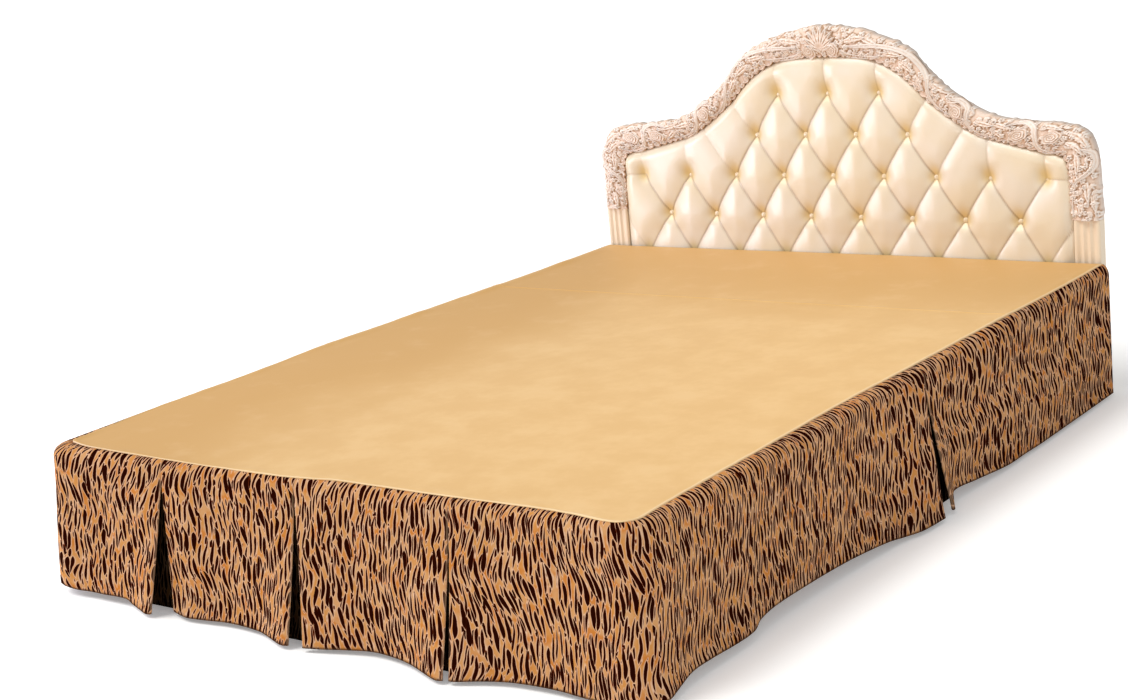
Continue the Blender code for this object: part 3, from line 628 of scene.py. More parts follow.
def width_surface(name, start, end):
    """The function that gives a width's middle from its place at the top and its level."""
    reach = min(SHIFT_REACH, end[0] - start[0])

    def surface(top_place, level):
        depth = max(level - 1.0, 0.0)
        pull = (start[1] - start[0]) * (1.0 - ease((top_place - start[0]) / reach))
        pull += (end[1] - end[0]) * (1.0 - ease((end[0] - top_place) / reach))
        hem_place = top_place + pull
        hem_out = read_curve(WIDTHS[name], hem_place, 1)
        hem_z = read_curve(WIDTHS[name], hem_place, 2)
        place = top_place + pull * depth
        middle = cloth_point(place, level, hem_out, hem_z)
        return middle + seam_line(place)[1] * crease_height(place, level)
    return surface


def surface_frame(surface, place, level):
    """Middle, direction along the cloth and direction out of it."""
    step, level_step = 0.002, 0.02
    middle = surface(place, level)
    along = (surface(place + step, level) - surface(place - step, level)).normalized()
    upper, lower = max(level - level_step, 0.0), min(level + level_step, 2.0)
    down = (surface(place, lower) - surface(place, upper)).normalized()
    return middle, along, down.cross(along).normalized()


def fall_levels():
    """Levels down a width: 0 to 1 over the roll, 1 to 2 down the fall, closer at the hem."""
    fall = [mix(0.0, 1.0 - HEM_SHARE, i / FALL_STEPS) for i in range(1, FALL_STEPS + 1)]
    fall += [1.0 - HEM_SHARE * share for share in (0.85, 0.45, 0.15, 0.0)]
    return [i / ROLL_STEPS for i in range(ROLL_STEPS + 1)] + [1.0 + step for step in fall]


def cloth_sheet(name, centres, normals, uv, levels, folds, made):
    """A cloth about a grid of centres, with its rims closed."""
    rows, columns = len(centres), len(centres[0])
    front, back, area = [], [], 0.0
    for level, centre_row, normal_row in zip(levels, centres, normals):
        half = CLOTH / 2
        thick = half + HEM_SWELL * ease((level - 2.0 + HEM_SHARE) / HEM_SOFT)
        front += [centre + normal * thick for centre, normal in zip(centre_row, normal_row)]
        back += [centre - normal * half for centre, normal in zip(centre_row, normal_row)]
    for i in range(rows - 1):
        for j in range(columns - 1):
            across, down = centres[i][j + 1] - centres[i][j], centres[i + 1][j] - centres[i][j]
            area += across.cross(down).length
    # the hem's dark line, partly painted shade under its roll
    hem_shade = [ease((level - 2.0 + HEM_SHADE_LINE) / HEM_SOFT) for level in levels for _ in range(columns)]
    piece = add_piece(name + "_cloth", front + back, sheet_faces(rows, columns), [made],
                      [name], [pair for row in uv for pair in row] * 2,
                      {"hem": hem_shade * 2, "fold": folds * rows * 2})


def lengths_down(centres):
    """The length of cloth from the seam down to each point."""
    run = [0.0] * len(centres[0])
    rows = [list(run)]
    for above, below in zip(centres, centres[1:]):
        run = [r + (b - a).length for r, a, b in zip(run, above, below)]
        rows.append(list(run))
    return rows


def make_width(name, start, end, start_fold, end_fold):
    """A striped width, with the cloth turned back behind each of its pleat edges."""
    surface = width_surface(name, start, end)
    count = math.ceil((end[0] - start[0]) / COLUMN)
    columns = [(mix(start[0], end[0], i / count), 0, 0.0) for i in range(count + 1)]
    bends = (0.17, 0.33, 0.5, 0.67, 0.83)
    behind = (0.0, 0.2, 0.4, 0.6, 0.8, 1.0)
    if start_fold:
        turned = [(start[0] + TURNED_BACK * share, -1, 1.0) for share in reversed(behind)]
        columns = turned + [(start[0], -1, bend) for bend in reversed(bends)] + columns
    if end_fold:
        turned = [(end[0] - TURNED_BACK * share, 1, 1.0) for share in behind]
        columns = columns + [(end[0], 1, bend) for bend in bends] + turned
    levels = fall_levels()
    centres, normals = [], []
    for level in levels:
        centre_row, normal_row = [], []
        radius = fold_pitch(level) / 2
        for place, side, turn in columns:
            middle, along, outward = surface_frame(surface, place, level)
            angle = turn * math.pi
            centre_row.append(middle + along * side * radius * math.sin(angle)
                              - outward * radius * (1.0 - math.cos(angle)))
            normal_row.append(outward * math.cos(angle) + along * side * math.sin(angle))
        centres.append(centre_row)
        normals.append(normal_row)
    wide, printed = 0.0, [start[0]]
    middle_row = centres[len(levels) // 2]
    for (place, _, _), a, b in zip(columns, middle_row, middle_row[1:]):
        run = (b - a).length
        wide += run
        printed.append(printed[-1] + run * FINE_PITCH / read_curve(PRINT_PITCH, place, 1))
    uv = [list(zip(printed, down)) for down in lengths_down(centres)]
    # where the cloth turns at a pleat edge, for the painted highlight along it
    folds = [math.sin(math.pi * turn) for place, side, turn in columns]
    cloth_sheet(name, centres, normals, uv, levels, folds, PRINT)


def make_pleat_back(name, pleat, left_width, right_width):
    """The cloth that hangs behind a pleat, behind the layers turned back at its two edges."""
    top, hem_left, hem_right, hem_z = pleat
    reads = [read_curve(WIDTHS[left_width], hem_left - PLEAT_LAP * i / 4, 1) for i in range(5)]
    reads += [read_curve(WIDTHS[right_width], hem_right + PLEAT_LAP * i / 4, 1) for i in range(5)]
    hem_out = min(reads) - PLEAT_SLACK
    shares = [j / (PLEAT_COLUMNS - 1) for j in range(PLEAT_COLUMNS)]

    def surface(share, level):
        depth = max(level - 1.0, 0.0)
        low = mix(top, hem_left, depth) - PLEAT_LAP
        high = mix(top, hem_right, depth) + PLEAT_LAP
        return cloth_point(mix(low, high, share), level, hem_out, hem_z)

    levels = fall_levels()[2:]
    centres, normals = [], []
    for level in levels:
        set_back = fold_pitch(level) + CLOTH + 2 * NEAR
        frames = [surface_frame(surface, share, level) for share in shares]
        centres.append([middle - outward * set_back for middle, along, outward in frames])
        normals.append([outward for middle, along, outward in frames])
    middle_row = centres[len(levels) // 2]
    wide = sum((b - a).length for a, b in zip(middle_row, middle_row[1:]))
    printed = [top + PRINT_APART + wide * share for share in shares]
    uv = [list(zip(printed, down)) for down in lengths_down(centres)]
    # the darkened copy of the print: painted shade inside the pleat
    cloth_sheet(name, centres, normals, uv, levels, [0.0] * PLEAT_COLUMNS, PLEAT_PAINTED_SHADE)


def make_skirt_sides():
    for name, (start, end, start_fold, end_fold) in width_edges().items():
        make_width(name, start, end, start_fold, end_fold)
    names = list(WIDTHS)
    for index, (name, pleat) in enumerate(PLEATS.items()):
        make_pleat_back("pleat_back_" + name, pleat, names[index], names[index + 1])


# Gold cloths

EDGE_STEPS = (0.0, 0.0012, 0.0024, 0.0036, 0.005, 0.007, 0.010, 0.014, 0.020, 0.028, 0.038, 0.050)
GOLD_STEP = 0.016
RIPPLE = 0.0012             # height of the broad ripples
PUCKER = 0.0010             # of the puckers along the seam
LOOSE = (0.0020, 0.0062)    # of the looser swells by the seam, on the right and along the left side
SEAM_ROLL = 0.0012          # of the rolled seam edge
CROSS_DIP = 0.0014          # depth of the cross seam
CROSS_ROLL = 0.0007         # and how far the cloth beside it stands up
RIM_HIGHLIGHT_PLACE, RIM_HIGHLIGHT_REACH = 0.003, 0.0035    # the painted highlight along the sewn edge, as a paler line


def seam_point(place):
    point, outward = seam_line(place)
    point = point + outward * read_curve(SEAM_WAVES, place, 1)
    return np.array((point.x, point.y))


def edge_marks(length):
    """Steps over a length, close together near its ends."""
    low, high = list(EDGE_STEPS), [length - step for step in reversed(EDGE_STEPS)]
    count = max(2, round((high[0] - low[-1]) / GOLD_STEP))
    between = [mix(low[-1], high[0], i / count) for i in range(1, count)]
    return [mark / length for mark in low + between + high]


def gold_height(x, y, edge, cross):
    """Height of the gold cloth above its flat level: soft ripples, puckers and the rolled seam edges."""
    broad = noise.noise((x * 2.3 + 4.0, y * 1.7, 0.3)) + 0.5 * noise.noise((x * 5.1, y * 4.3, 1.7))
    pucker = noise.noise((x * 26.0, y * 26.0, 2.2))
    swell = noise.noise((x * 9.0, y * 9.0, 7.1))
    stitches = noise.noise((x * 40.0, 0.0, 5.0))
    loose = mix(*LOOSE, ease((-x - 0.55) / 0.15))
    height = RIPPLE * (1.0 + broad) + PUCKER * pucker * math.exp(-edge / 0.035)
    height += loose * max(swell + 0.20, 0.0) * bell(edge - 0.018, 0.013)
    height += SEAM_ROLL * bell(edge - 0.0034, 0.0022)
    height -= CROSS_DIP * bell(cross - 0.0006, 0.0012)
    height += CROSS_ROLL * (1.0 + 0.6 * stitches) * bell(cross - 0.005, 0.004)
    return float(max(height, -0.0002) * min(1.0, edge / 0.0018 + 0.15))


def make_gold_cloth(name, foot, head, left, right, near_foot):
    """A gold cloth between its four edges, each given as a function of a share along it.

    The foot edge is sewn like the sides where near_foot is true, and lies at the cross seam where it isn't.
    """
    wide = SEAM_HALF_WIDTH * 2
    long_side = abs(head(0.5)[1] - foot(0.5)[1])
    across, along = edge_marks(wide), edge_marks(long_side)
    c00, c10, c01, c11 = foot(0.0), foot(1.0), head(0.0), head(1.0)
    left_points, right_points = [left(b) for b in along], [right(b) for b in along]
    foot_points, head_points = [foot(a) for a in across], [head(a) for a in across]
    top, under, rims = [], [], []
    for i, b in enumerate(along):
        for j, a in enumerate(across):
            point = (1 - a) * left_points[i] + a * right_points[i] + (1 - b) * foot_points[j]
            point = point + b * head_points[j]
            point = point - (1 - a) * (1 - b) * c00 - a * (1 - b) * c10 - (1 - a) * b * c01 - a * b * c11
            edges = [a * wide, (1 - a) * wide]
            if near_foot:
                edges.append(b * long_side)
            x, y = float(point[0]), float(point[1])
            height = gold_height(x, y, min(edges), abs(y - CROSS_SEAM_Y))
            top.append((x, y, TOP_Z + height))
            under.append((x, y, TOP_Z - CLOTH + max(height, 0.0) * 0.5))
            # how near the sewn edge, for the painted highlight there
            rims.append(bell(min(edges) - RIM_HIGHLIGHT_PLACE, RIM_HIGHLIGHT_REACH))
    faces = sheet_faces(len(along), len(across))
    piece = add_piece(name + "_cloth", top + under, faces, [GOLD], [name],
                      [(x, y) for x, y, z in top] * 2, {"rim": rims * 2})


def make_gold_cloths():
    corner = FOOT_STRAIGHT + CORNER_ARC / 2
    cross = SEAM_END - (BED_HEAD_Y - CROSS_SEAM_Y)
    main_end, head_start = cross - NEAR / 2, cross + NEAR / 2

    def edge(low, high):
        return lambda share: seam_point(mix(low, high, share))

    def straight(low, high):
        start, end = seam_point(low), seam_point(high)
        return lambda share: mix(start, end, share)

    make_gold_cloth("platform_main", edge(-corner, corner), straight(-main_end, main_end),
                    edge(-corner, -main_end), edge(corner, main_end), True)
    make_gold_cloth("platform_head", straight(-head_start, head_start), straight(-SEAM_END, SEAM_END),
                    edge(-head_start, -SEAM_END), edge(head_start, SEAM_END), False)


# Headboard: crest and posts

def crest_rows():
    """The crest's table from the crown down, with the run along its middle as the first column."""
    rows, run, last = [], 0.0, None
    for inner_x, inner_z, outer_x, outer_z in reversed(CREST):
        middle = ((inner_x + outer_x) / 2, (inner_z + outer_z) / 2)
        run += math.dist(middle, last or middle)
        rows.append((run, inner_x, inner_z, outer_x, outer_z))
        last = middle
    return rows


CREST_RUN = crest_rows()
BASE_EDGE_BACK = 0.006      # the moulding falls back this far at its two edges
BASE_CROWN = 0.007          # and its middle stands this far proud of the posts


def base_height(share):
    """The plain moulding's front, forward of the posts' front."""
    return mix(-BASE_EDGE_BACK, BASE_CROWN, math.sin(math.pi * clamp(share)) ** 0.55)


def crest_section(run):
    """The crest's inner edge x, z and outer edge x, z, at a run along it from the crown."""
    return [read_curve(CREST_RUN, abs(run), column) for column in range(1, 5)]


def crest_point(run, share, height):
    """A point on the crest: run along it from the crown, right positive, share from its inner edge."""
    side = 1.0 if run >= 0 else -1.0
    inner_x, inner_z, outer_x, outer_z = crest_section(run)
    return (side * mix(inner_x, outer_x, share), BOARD_FRONT_Y - height, mix(inner_z, outer_z, share))


def crest_width(run):
    section = crest_section(run)
    return math.dist(section[:2], section[2:])


class Forms:
    """Gathers small forms into one mesh, with a tone for each point.

    A carved point's tone is how far it stands out of its recess.
    """

    def __init__(self):
        self.points, self.faces, self.tones = [], [], []

    def add(self, points, faces, tones):
        start = len(self.points)
        self.points += points
        self.faces += [tuple(start + i for i in face) for face in faces]
        self.tones += tones

    def add_on_crest(self, form, run, share, angle, side):
        """Places a form of local points (along, across, height) on the crest, turned by an angle."""
        points, faces, tones = form
        width = crest_width(run)
        turn_c, turn_s = math.cos(angle), math.sin(angle)
        placed = []
        for along, across, height in points:
            there = run + along * turn_c - across * turn_s
            over = share + (along * turn_s + across * turn_c) / width
            x, y, z = crest_point(there, over, base_height(over) + height)
            placed.append((side * x, y, z))
        self.add(placed, faces, tones)


def rose_form(radius, lift):
    """An open rose: petals in a spiral that tightens towards the bud."""
    rings, spokes = 20, 44
    points, tones = [(0.0, 0.0, lift * 0.9)], [0.5]
    for i in range(1, rings + 1):
        r = i / rings
        dome = math.sqrt(1.0 - (0.86 * r) ** 2)
        for j in range(spokes):
            angle = math.tau * j / spokes
            fold = (3.4 * r ** 0.9 - angle / math.tau) % 1.0
            scallop = 1.0 + 0.07 * math.cos(5 * angle + 1.0) * r
            height = lift * (0.62 * dome + 0.42 * fold ** 1.5 * (0.4 + 0.6 * r))
            away = radius * r * scallop
            last = i == rings
            points.append((away * math.cos(angle), away * math.sin(angle), -BURY if last else height))
            tones.append(0.0 if last else 0.05 + 0.85 * fold ** 0.8)
    return points, dome_faces(rings, spokes), tones


def bead_form(radius):
    """A round bead, sunk a little."""
    rings, spokes = 4, 10
    points, tones = [(0.0, 0.0, radius)], [1.0]
    for i in range(1, rings + 1):
        lean = math.pi * 0.62 * i / rings
        points += [(x, y, radius * math.cos(lean)) for x, y in circle(radius * math.sin(lean), spokes)]
        tones += [1.0 - 0.9 * (i / rings) ** 2] * spokes
    return points, dome_faces(rings, spokes), tones


RIBBON_STEPS = 12           # between two places of a strand
# A strand's section. Columns: offset in half widths, height in lifts.
RIBBON_SECTION = [(-0.82, 0.45), (-0.5, 1.0), (-0.18, 0.55), (0.12, 0.5), (0.5, 0.95), (0.82, 0.40)]


def add_ribbon(carving, path, widths, lift, side):
    """A grooved strand along a path of (run, share) points on the crest."""
    rows = [(i, *point) for i, point in enumerate(path)]
    samples = RIBBON_STEPS * (len(path) - 1)
    line = [[read_curve(rows, i / RIBBON_STEPS, column) for column in (1, 2)] for i in range(samples + 1)]
    section = [(offset, height * lift, 0.30 + 0.55 * height) for offset, height in RIBBON_SECTION]
    section = [(-1.0, -BURY, 0.15), *section, (1.0, -BURY, 0.15)]
    points, tones = [], []
    for i, (run, share) in enumerate(line):
        t = i / samples
        width = crest_width(run)
        before, after = line[max(i - 1, 0)], line[min(i + 1, samples)]
        step = Vector((after[0] - before[0], (after[1] - before[1]) * width)).normalized()
        half = mix(*widths, t) / 2 * min(1.0, 0.25 + 5 * t, 0.25 + 5 * (1 - t))
        for offset, rise, tone in section:
            there, over = run - step.y * offset * half, share + step.x * offset * half / width
            x, y, z = crest_point(there, over, base_height(over) + rise)
            points.append((side * x, y, z))
            tones.append(tone)
    carving.add(points, tube_faces(samples + 1, len(section)), tones)


# Strands that sweep over the crest between its outer edge and its inner lip. Points are (run, share).
RIBBONS = [
    [(0.062, 0.2), (0.085, 0.02), (0.125, -0.03), (0.16, 0.04), (0.182, 0.24)],
    [(0.075, 0.34), (0.12, 0.46), (0.18, 0.7), (0.24, 0.92), (0.295, 0.98), (0.325, 0.8),
     (0.34, 0.48), (0.36, 0.16), (0.39, 0.0), (0.418, 0.1)],
    [(0.405, 0.8), (0.43, 1.0), (0.456, 0.92), (0.463, 0.56), (0.474, 0.22), (0.5, 0.02),
     (0.535, -0.02), (0.56, 0.12)],
    [(0.565, 0.72), (0.6, 0.98), (0.632, 0.82), (0.652, 0.5), (0.676, 0.14), (0.705, -0.02),
     (0.735, 0.0), (0.752, 0.2)],
    [(0.77, 0.62), (0.795, 0.98), (0.82, 0.96), (0.832, 0.64), (0.84, 0.3), (0.858, 0.04),
     (0.895, 0.0), (0.934, 0.06)],
]
# Columns: run, share, radius
ROSES = [(0.038, 0.17, 0.0215), (0.435, 0.44, 0.0195), (0.612, 0.4, 0.0225), (0.694, 0.52, 0.0225)]
# Columns: run, share, angle in degrees, length, width
BIG_LEAVES = [
    (0.07, 0.55, 18, 0.055, 0.022), (0.11, 0.78, -8, 0.055, 0.02), (0.185, 0.4, 20, 0.05, 0.02),
    (0.235, 0.45, 6, 0.05, 0.022), (0.29, 0.5, -18, 0.045, 0.018), (0.345, 0.8, 12, 0.055, 0.018),
    (0.4, 0.62, 30, 0.04, 0.015), (0.49, 0.5, 8, 0.05, 0.02), (0.535, 0.72, -6, 0.05, 0.018),
    (0.545, 0.42, -24, 0.04, 0.016), (0.65, 0.88, -4, 0.055, 0.018), (0.722, 0.78, 6, 0.055, 0.026),
    (0.735, 0.45, 14, 0.05, 0.022), (0.775, 0.42, -10, 0.05, 0.024), (0.85, 0.62, 4, 0.05, 0.022),
    (0.895, 0.42, -10, 0.04, 0.018), (0.88, 0.8, 8, 0.045, 0.016),
]
# Leaves of the crown's palmette, right half. Columns: degrees from upright, length
PALMETTE = [(0, 0.064), (17, 0.062), (34, 0.058), (52, 0.052), (72, 0.042)]
# Rows of beads along the inner lip. Columns: first run, last run, share
BEAD_ROWS = [(0.196, 0.322, 0.05), (0.438, 0.462, 0.03), (0.572, 0.64, 0.02), (0.764, 0.826, 0.05)]


class Relief:
    """The crest's carved ground: its rise over the moulding, on a grid of runs along it and shares across."""

    def __init__(self):
        total = CREST_RUN[-1][0]
        self.runs = np.linspace(-total, total, RELIEF_RUNS)
        self.shares = np.linspace(0.0, 1.0, RELIEF_SHARES)[None, :]
        self.widths = np.array([crest_width(run) for run in self.runs])[:, None]
        self.rise = np.zeros((RELIEF_RUNS, RELIEF_SHARES))

    def near(self, run, share, reach, side):
        """Stations near a place, with their offsets from it along and across the crest."""
        near = np.abs(self.runs - side * run) < reach
        along = (self.runs[near] * side - run)[:, None]
        return near, along, (self.shares - share) * self.widths[near]

    def carve(self, near, rise):
        self.rise[near] = np.maximum(self.rise[near], rise)

    def add_leaf(self, run, share, degrees, length, width, lift, side, lobes):
        """A veined leaf that rises towards its tip, with a lobed outline."""
        near, there, over = self.near(run, share, 1.3 * length, side)
        turn_c, turn_s = math.cos(math.radians(degrees)), math.sin(math.radians(degrees))
        t = (there * turn_c + over * turn_s) / length
        across = over * turn_c - there * turn_s
        inside = np.clip(t, 0.0, 1.0)
        half = width / 2 * np.sin(math.pi * (0.05 + 0.93 * inside) ** 0.8) ** 0.8
        half = half * (1.0 - 0.26 * np.abs(np.sin(lobes * math.pi * inside)))
        c = np.abs(across) / np.maximum(half, 1e-5)
        body = np.clip(1.0 - c ** 2.5, 0.0, 1.0) ** 0.5
        groove = 1.0 - 0.50 * bell(c, 0.20)
        veins = 1.0 + 0.16 * np.cos(math.tau * (lobes * inside + 0.7 * c))
        rise = lift * (0.45 + 0.55 * inside) * body * groove * veins
        self.carve(near, np.where((t > 0.0) & (t < 1.0), rise, 0.0))

    def add_blossom(self, run, share, radius, lift, side, turn):
        """A small open flower with five petals and a round eye."""
        near, along, over = self.near(run, share, 1.3 * radius, side)
        away, angle = np.hypot(along, over) / radius, np.arctan2(over, along) + turn
        petal = np.abs(np.cos(2.5 * angle))
        edge = 0.62 + 0.38 * petal ** 0.5
        rise = lift * np.clip(1.0 - (away / edge) ** 3, 0.0, 1.0) ** 0.5 * (0.45 + 0.55 * petal ** 0.4)
        eye = 1.1 * lift * np.clip(1.0 - (away / 0.28) ** 2, 0.0, 1.0) ** 0.5
        self.carve(near, np.maximum(np.where(away > 0.34, rise, 0.0), eye))

    def tones(self):
        """How far each point stands out of its neighbourhood, from 0 to 1."""
        around, reach = self.rise, 3
        count = 2 * reach + 1
        for axis in (0, 1):
            padded = np.pad(around, [(reach, reach) if a == axis else (0, 0) for a in (0, 1)], mode="edge")
            length = around.shape[axis]
            around = sum(np.take(padded, range(k, k + length), axis) for k in range(count)) / count
        return np.clip(0.5 + (self.rise - around) / 0.0050, 0.0, 1.0)


RELIEF_RUNS = 1250          # points along the crest
RELIEF_SHARES = 48          # and across it
GROUND_SPACING = 0.0128     # between the middles of the small flowers and leaves
GROUND_TRIES = 9000
BLOSSOM_CHANCE = 0.45       # a small form is a flower this often, and else three leaves
SMALL_LIFT = (0.0050, 0.0080)
BLOSSOM_RADIUS = (0.0078, 0.0098)
SMALL_LEAF_LENGTH = (0.013, 0.017)
SMALL_LEAF_WIDTH = 0.0082
BIG_LEAF_LIFT = 0.0090
PALMETTE_WIDTH = 0.0200
PALMETTE_LIFT = 0.0120
EDGE_WAVE = 0.0062          # the carving's outer edge waves out about this far
SCALLOP_DEPTH = 0.0066      # the scallops hang this far below the inner edge
SCALLOP_LENGTH = 0.0235
EDGE_BEAD = 0.0062          # height of the rounded bead along the inner edge
RIBBON_WIDTHS = (0.0165, 0.0110)
RIBBON_LIFT = 0.0072
ROSE_LIFT = 0.011
BEAD_RADIUS = 0.0036
BEAD_PITCH = 0.0085
BACK_TONE = 0.62            # the paint's tone on the crest's plain back


def carve_ground(relief, side, chance):
    """Small flowers and short leaves strewn over the ground, with the larger leaves among them."""
    placed = []
    for _ in range(GROUND_TRIES):
        run, share = chance.uniform(0.004, CREST_RUN[-1][0] - 0.003), chance.uniform(0.07, 0.95)
        width = crest_width(run)
        if all(math.hypot(run - r, (share - s) * width) > GROUND_SPACING for r, s in placed):
            placed.append((run, share))
    for run, share in placed:
        lift = chance.uniform(*SMALL_LIFT)
        if chance.random() < BLOSSOM_CHANCE:
            relief.add_blossom(run, share, chance.uniform(*BLOSSOM_RADIUS), lift, side, chance.uniform(0, 6))
        else:
            lean = chance.uniform(-180, 180)
            for offset in (-38, 0, 38):
                length = chance.uniform(*SMALL_LEAF_LENGTH)
                relief.add_leaf(run, share, lean + offset, length, SMALL_LEAF_WIDTH, lift, side, 2)
    for run, share, degrees, length, width in BIG_LEAVES:
        relief.add_leaf(run, share, degrees, length, width, BIG_LEAF_LIFT, side, 4)


def add_moulding(carving, relief):
    """The crest's moulding: its carved front, with a waved outer edge and a scalloped lip, and its back."""
    tones = relief.tones()
    points, tone = [], []
    for i, run in enumerate(relief.runs.tolist()):
        width = relief.widths[i, 0]
        wave = EDGE_WAVE * max(noise.noise((run * 58.0, 0.4, 0.0)) + 0.15, 0.0) / width
        uneven = 1.2 * math.sin(run * 23)
        lip = SCALLOP_DEPTH * abs(math.sin(math.pi * run / SCALLOP_LENGTH + uneven)) / width
        for j, share in enumerate(relief.shares[0]):
            over = share + wave * share ** 4 - lip * (1.0 - share) ** 8
            soft = min(1.0, (1.0 - share) / 0.04 + 0.25)
            rise = max(relief.rise[i, j] * soft, EDGE_BEAD * bell(share - 0.012, 0.034))
            points.append(crest_point(run, over, base_height(share) - 0.001 + rise))
            # the inner edge's row takes the darkest tone: a painted shadow line where the crest meets the
            # padding
            tone.append(float(tones[i, j]) if j else 0.0)
        for share in (1.0 + wave, 0.0):
            x, y, z = crest_point(run, share, 0.0)
            points.append((x, BOARD_BACK_Y, z))
            tone.append(BACK_TONE)
    carving.add(points, tube_faces(RELIEF_RUNS, RELIEF_SHARES + 2), tone)


def make_crest():
    """The crest's moulding with its carved ground, strands, roses and beads."""
    relief, carving = Relief(), Forms()
    chance = random.Random(7)
    for side in (-1.0, 1.0):
        carve_ground(relief, side, chance)
    for degrees, length in PALMETTE:
        for side in (-1.0, 1.0):
            relief.add_leaf(0.0, 0.20, 90 - degrees, length, PALMETTE_WIDTH, PALMETTE_LIFT, side, 2)
    add_moulding(carving, relief)
    for side in (-1.0, 1.0):
        for path in RIBBONS:
            add_ribbon(carving, path, RIBBON_WIDTHS, RIBBON_LIFT, side)
        for run, share, radius in ROSES:
            carving.add_on_crest(rose_form(radius, ROSE_LIFT), run, share, chance.uniform(0, 6), side)
        for first, last, share in BEAD_ROWS:
            count = round((last - first) / BEAD_PITCH)
            for i in range(count + 1):
                carving.add_on_crest(bead_form(BEAD_RADIUS), mix(first, last, i / count), share, 0.0, side)
    add_piece("headboard_carving", carving.points, carving.faces, [CARVED],
              ["headboard_crest"], marks={"relief": carving.tones})


FLUTES = 3
FLUTE_DEPTH = 0.0035
FLUTE_MARGIN = 0.12         # plain border at each side of a post's front, as a share of its width
POST_CHAMFER = 0.003
POST_STEPS = 33


def make_posts():
    """Posts with flutes down their fronts."""
    heights = [0.0, 0.002, 0.12, 0.24, 0.36, POST_TOP_Z - 0.002, POST_TOP_Z]
    section = []
    for i in range(POST_STEPS):
        share = i / (POST_STEPS - 1)
        inside = clamp((share - FLUTE_MARGIN) / (1.0 - 2 * FLUTE_MARGIN))
        depth = FLUTE_DEPTH * abs(math.sin(math.pi * inside * FLUTES)) ** 1.4
        chamfer = POST_CHAMFER * max(0.0, 1.0 - min(share, 1 - share) / 0.04)
        section.append((mix(POST_INNER_X, POST_OUTER_X, share), BOARD_FRONT_Y + depth + chamfer))
    section += [(POST_OUTER_X, BOARD_BACK_Y), (POST_INNER_X, BOARD_BACK_Y)]
    for side, name in ((-1.0, "headboard_post_left"), (1.0, "headboard_post_right")):
        points = [(side * x, y, z) for z in heights for x, y in section]
        piece = add_piece(name + "_fluted", points, tube_faces(len(heights), len(section)), [PLAIN_PAINT],
                          [name])
        piece.data.set_sharp_from_angle(angle=0.7)


# Headboard: padding

def crest_inner_z(x):
    """Height of the crest's inner edge above a place across the bed."""
    xs, zs = zip(*(row[:2] for row in CREST[::-1]))
    return np.interp(abs(x), xs, zs, right=POST_TOP_Z)


def padding_buttons():
    """Buttons on a diamond lattice, as far as the crest leaves room."""
    buttons = []
    for half_row in range(-2, 4):
        z = BUTTON_Z + BUTTON_PITCH_Z / 2 * half_row
        for half_column in range(-9, 10):
            x = BUTTON_PITCH_X / 2 * half_column
            inside = abs(x) < POST_INNER_X - BUTTON_MARGIN and z < crest_inner_z(x) - BUTTON_MARGIN
            if (half_row + half_column) % 2 == 0 and inside:
                buttons.append((x, z))
    return buttons


def padding_creases():
    """Creases between neighbouring buttons, and fainter ones from the outer buttons to the frame.

    Columns: start, end, strength.
    """
    buttons = padding_buttons()
    lean = BUTTON_PITCH_X / BUTTON_PITCH_Z
    lowest = min(z for x, z in buttons)
    creases = []
    for x, z in buttons:
        corners = [(x + side * BUTTON_PITCH_X / 2, z + BUTTON_PITCH_Z / 2) for side in (-1.0, 1.0)]
        above = [button for button in buttons for corner in corners if math.dist(button, corner) < NEAR]
        creases += [((x, z), button, 1.0) for button in above]
        if not above:
            creases.append(((x, z), (x, crest_inner_z(x)), 0.20 if x < -0.05 else 0.50))
        elif len(above) == 1:
            side = math.copysign(1.0, x - above[0][0])
            reach = 0.0
            while z + reach < crest_inner_z(x + side * reach * lean):
                reach += 0.004
            creases.append(((x, z), (x + side * reach * lean, z + reach), 0.65 if side > 0 else 0.30))
        if abs(x) + BUTTON_PITCH_X / 2 > POST_INNER_X:
            creases.append(((x, z), (math.copysign(POST_INNER_X, x), z), 0.45))
    for x in (x for x, z in buttons if z == lowest):
        for side in (-1.0, 1.0):
            end_x = x + side * (lowest - PANEL_BOTTOM_Z) * lean
            if abs(end_x) < POST_INNER_X:
                creases.append(((x, lowest), (end_x, PANEL_BOTTOM_Z), 1.0))
    return creases


PILLOW_DEPTH = 0.0098       # of a crease, behind the fullest part of its pillows
PILLOW_REACH = 0.066        # from a crease to that part
PILLOW_POWER = 1.8          # a higher power keeps the pillows' tops flatter
DIMPLE_DEPTH = 0.0095
DIMPLE_REACH = 0.024
SOFTNESS = 3.0              # how softly two creases' slopes join
PADDING_STEP = 0.0034
FAINT_REACH = 0.55          # a fainter crease draws the padding in over this share of the reach
FOLD_LINE = 0.0024          # half width of the sharp line along a crease, painted dark as shade too
FOLD_LINE_DEPTH = 0.0022
BEHIND_BED = 0.30           # share of the padding's relief that is left where the bed stands before it
FRAME_ROLL = 0.015          # the padding falls back this far at the frame
FRAME_ROLL_REACH = 0.034
PADDING_LIMIT = 0.029       # no part of the front lies further back than this
FRAME_SHADOW_LINE = 0.0055         # half width of the painted shadow line below the crest
BUTTON_RADIUS = 0.0078
BUTTON_HEIGHT = 0.0046
BUTTON_SET = 0.0248         # the button's rim lies this far behind the fullest part of a pillow
BUTTON_SHADE = 0.42          # a button has this share of the painted yellow shade at the bottom of a hollow


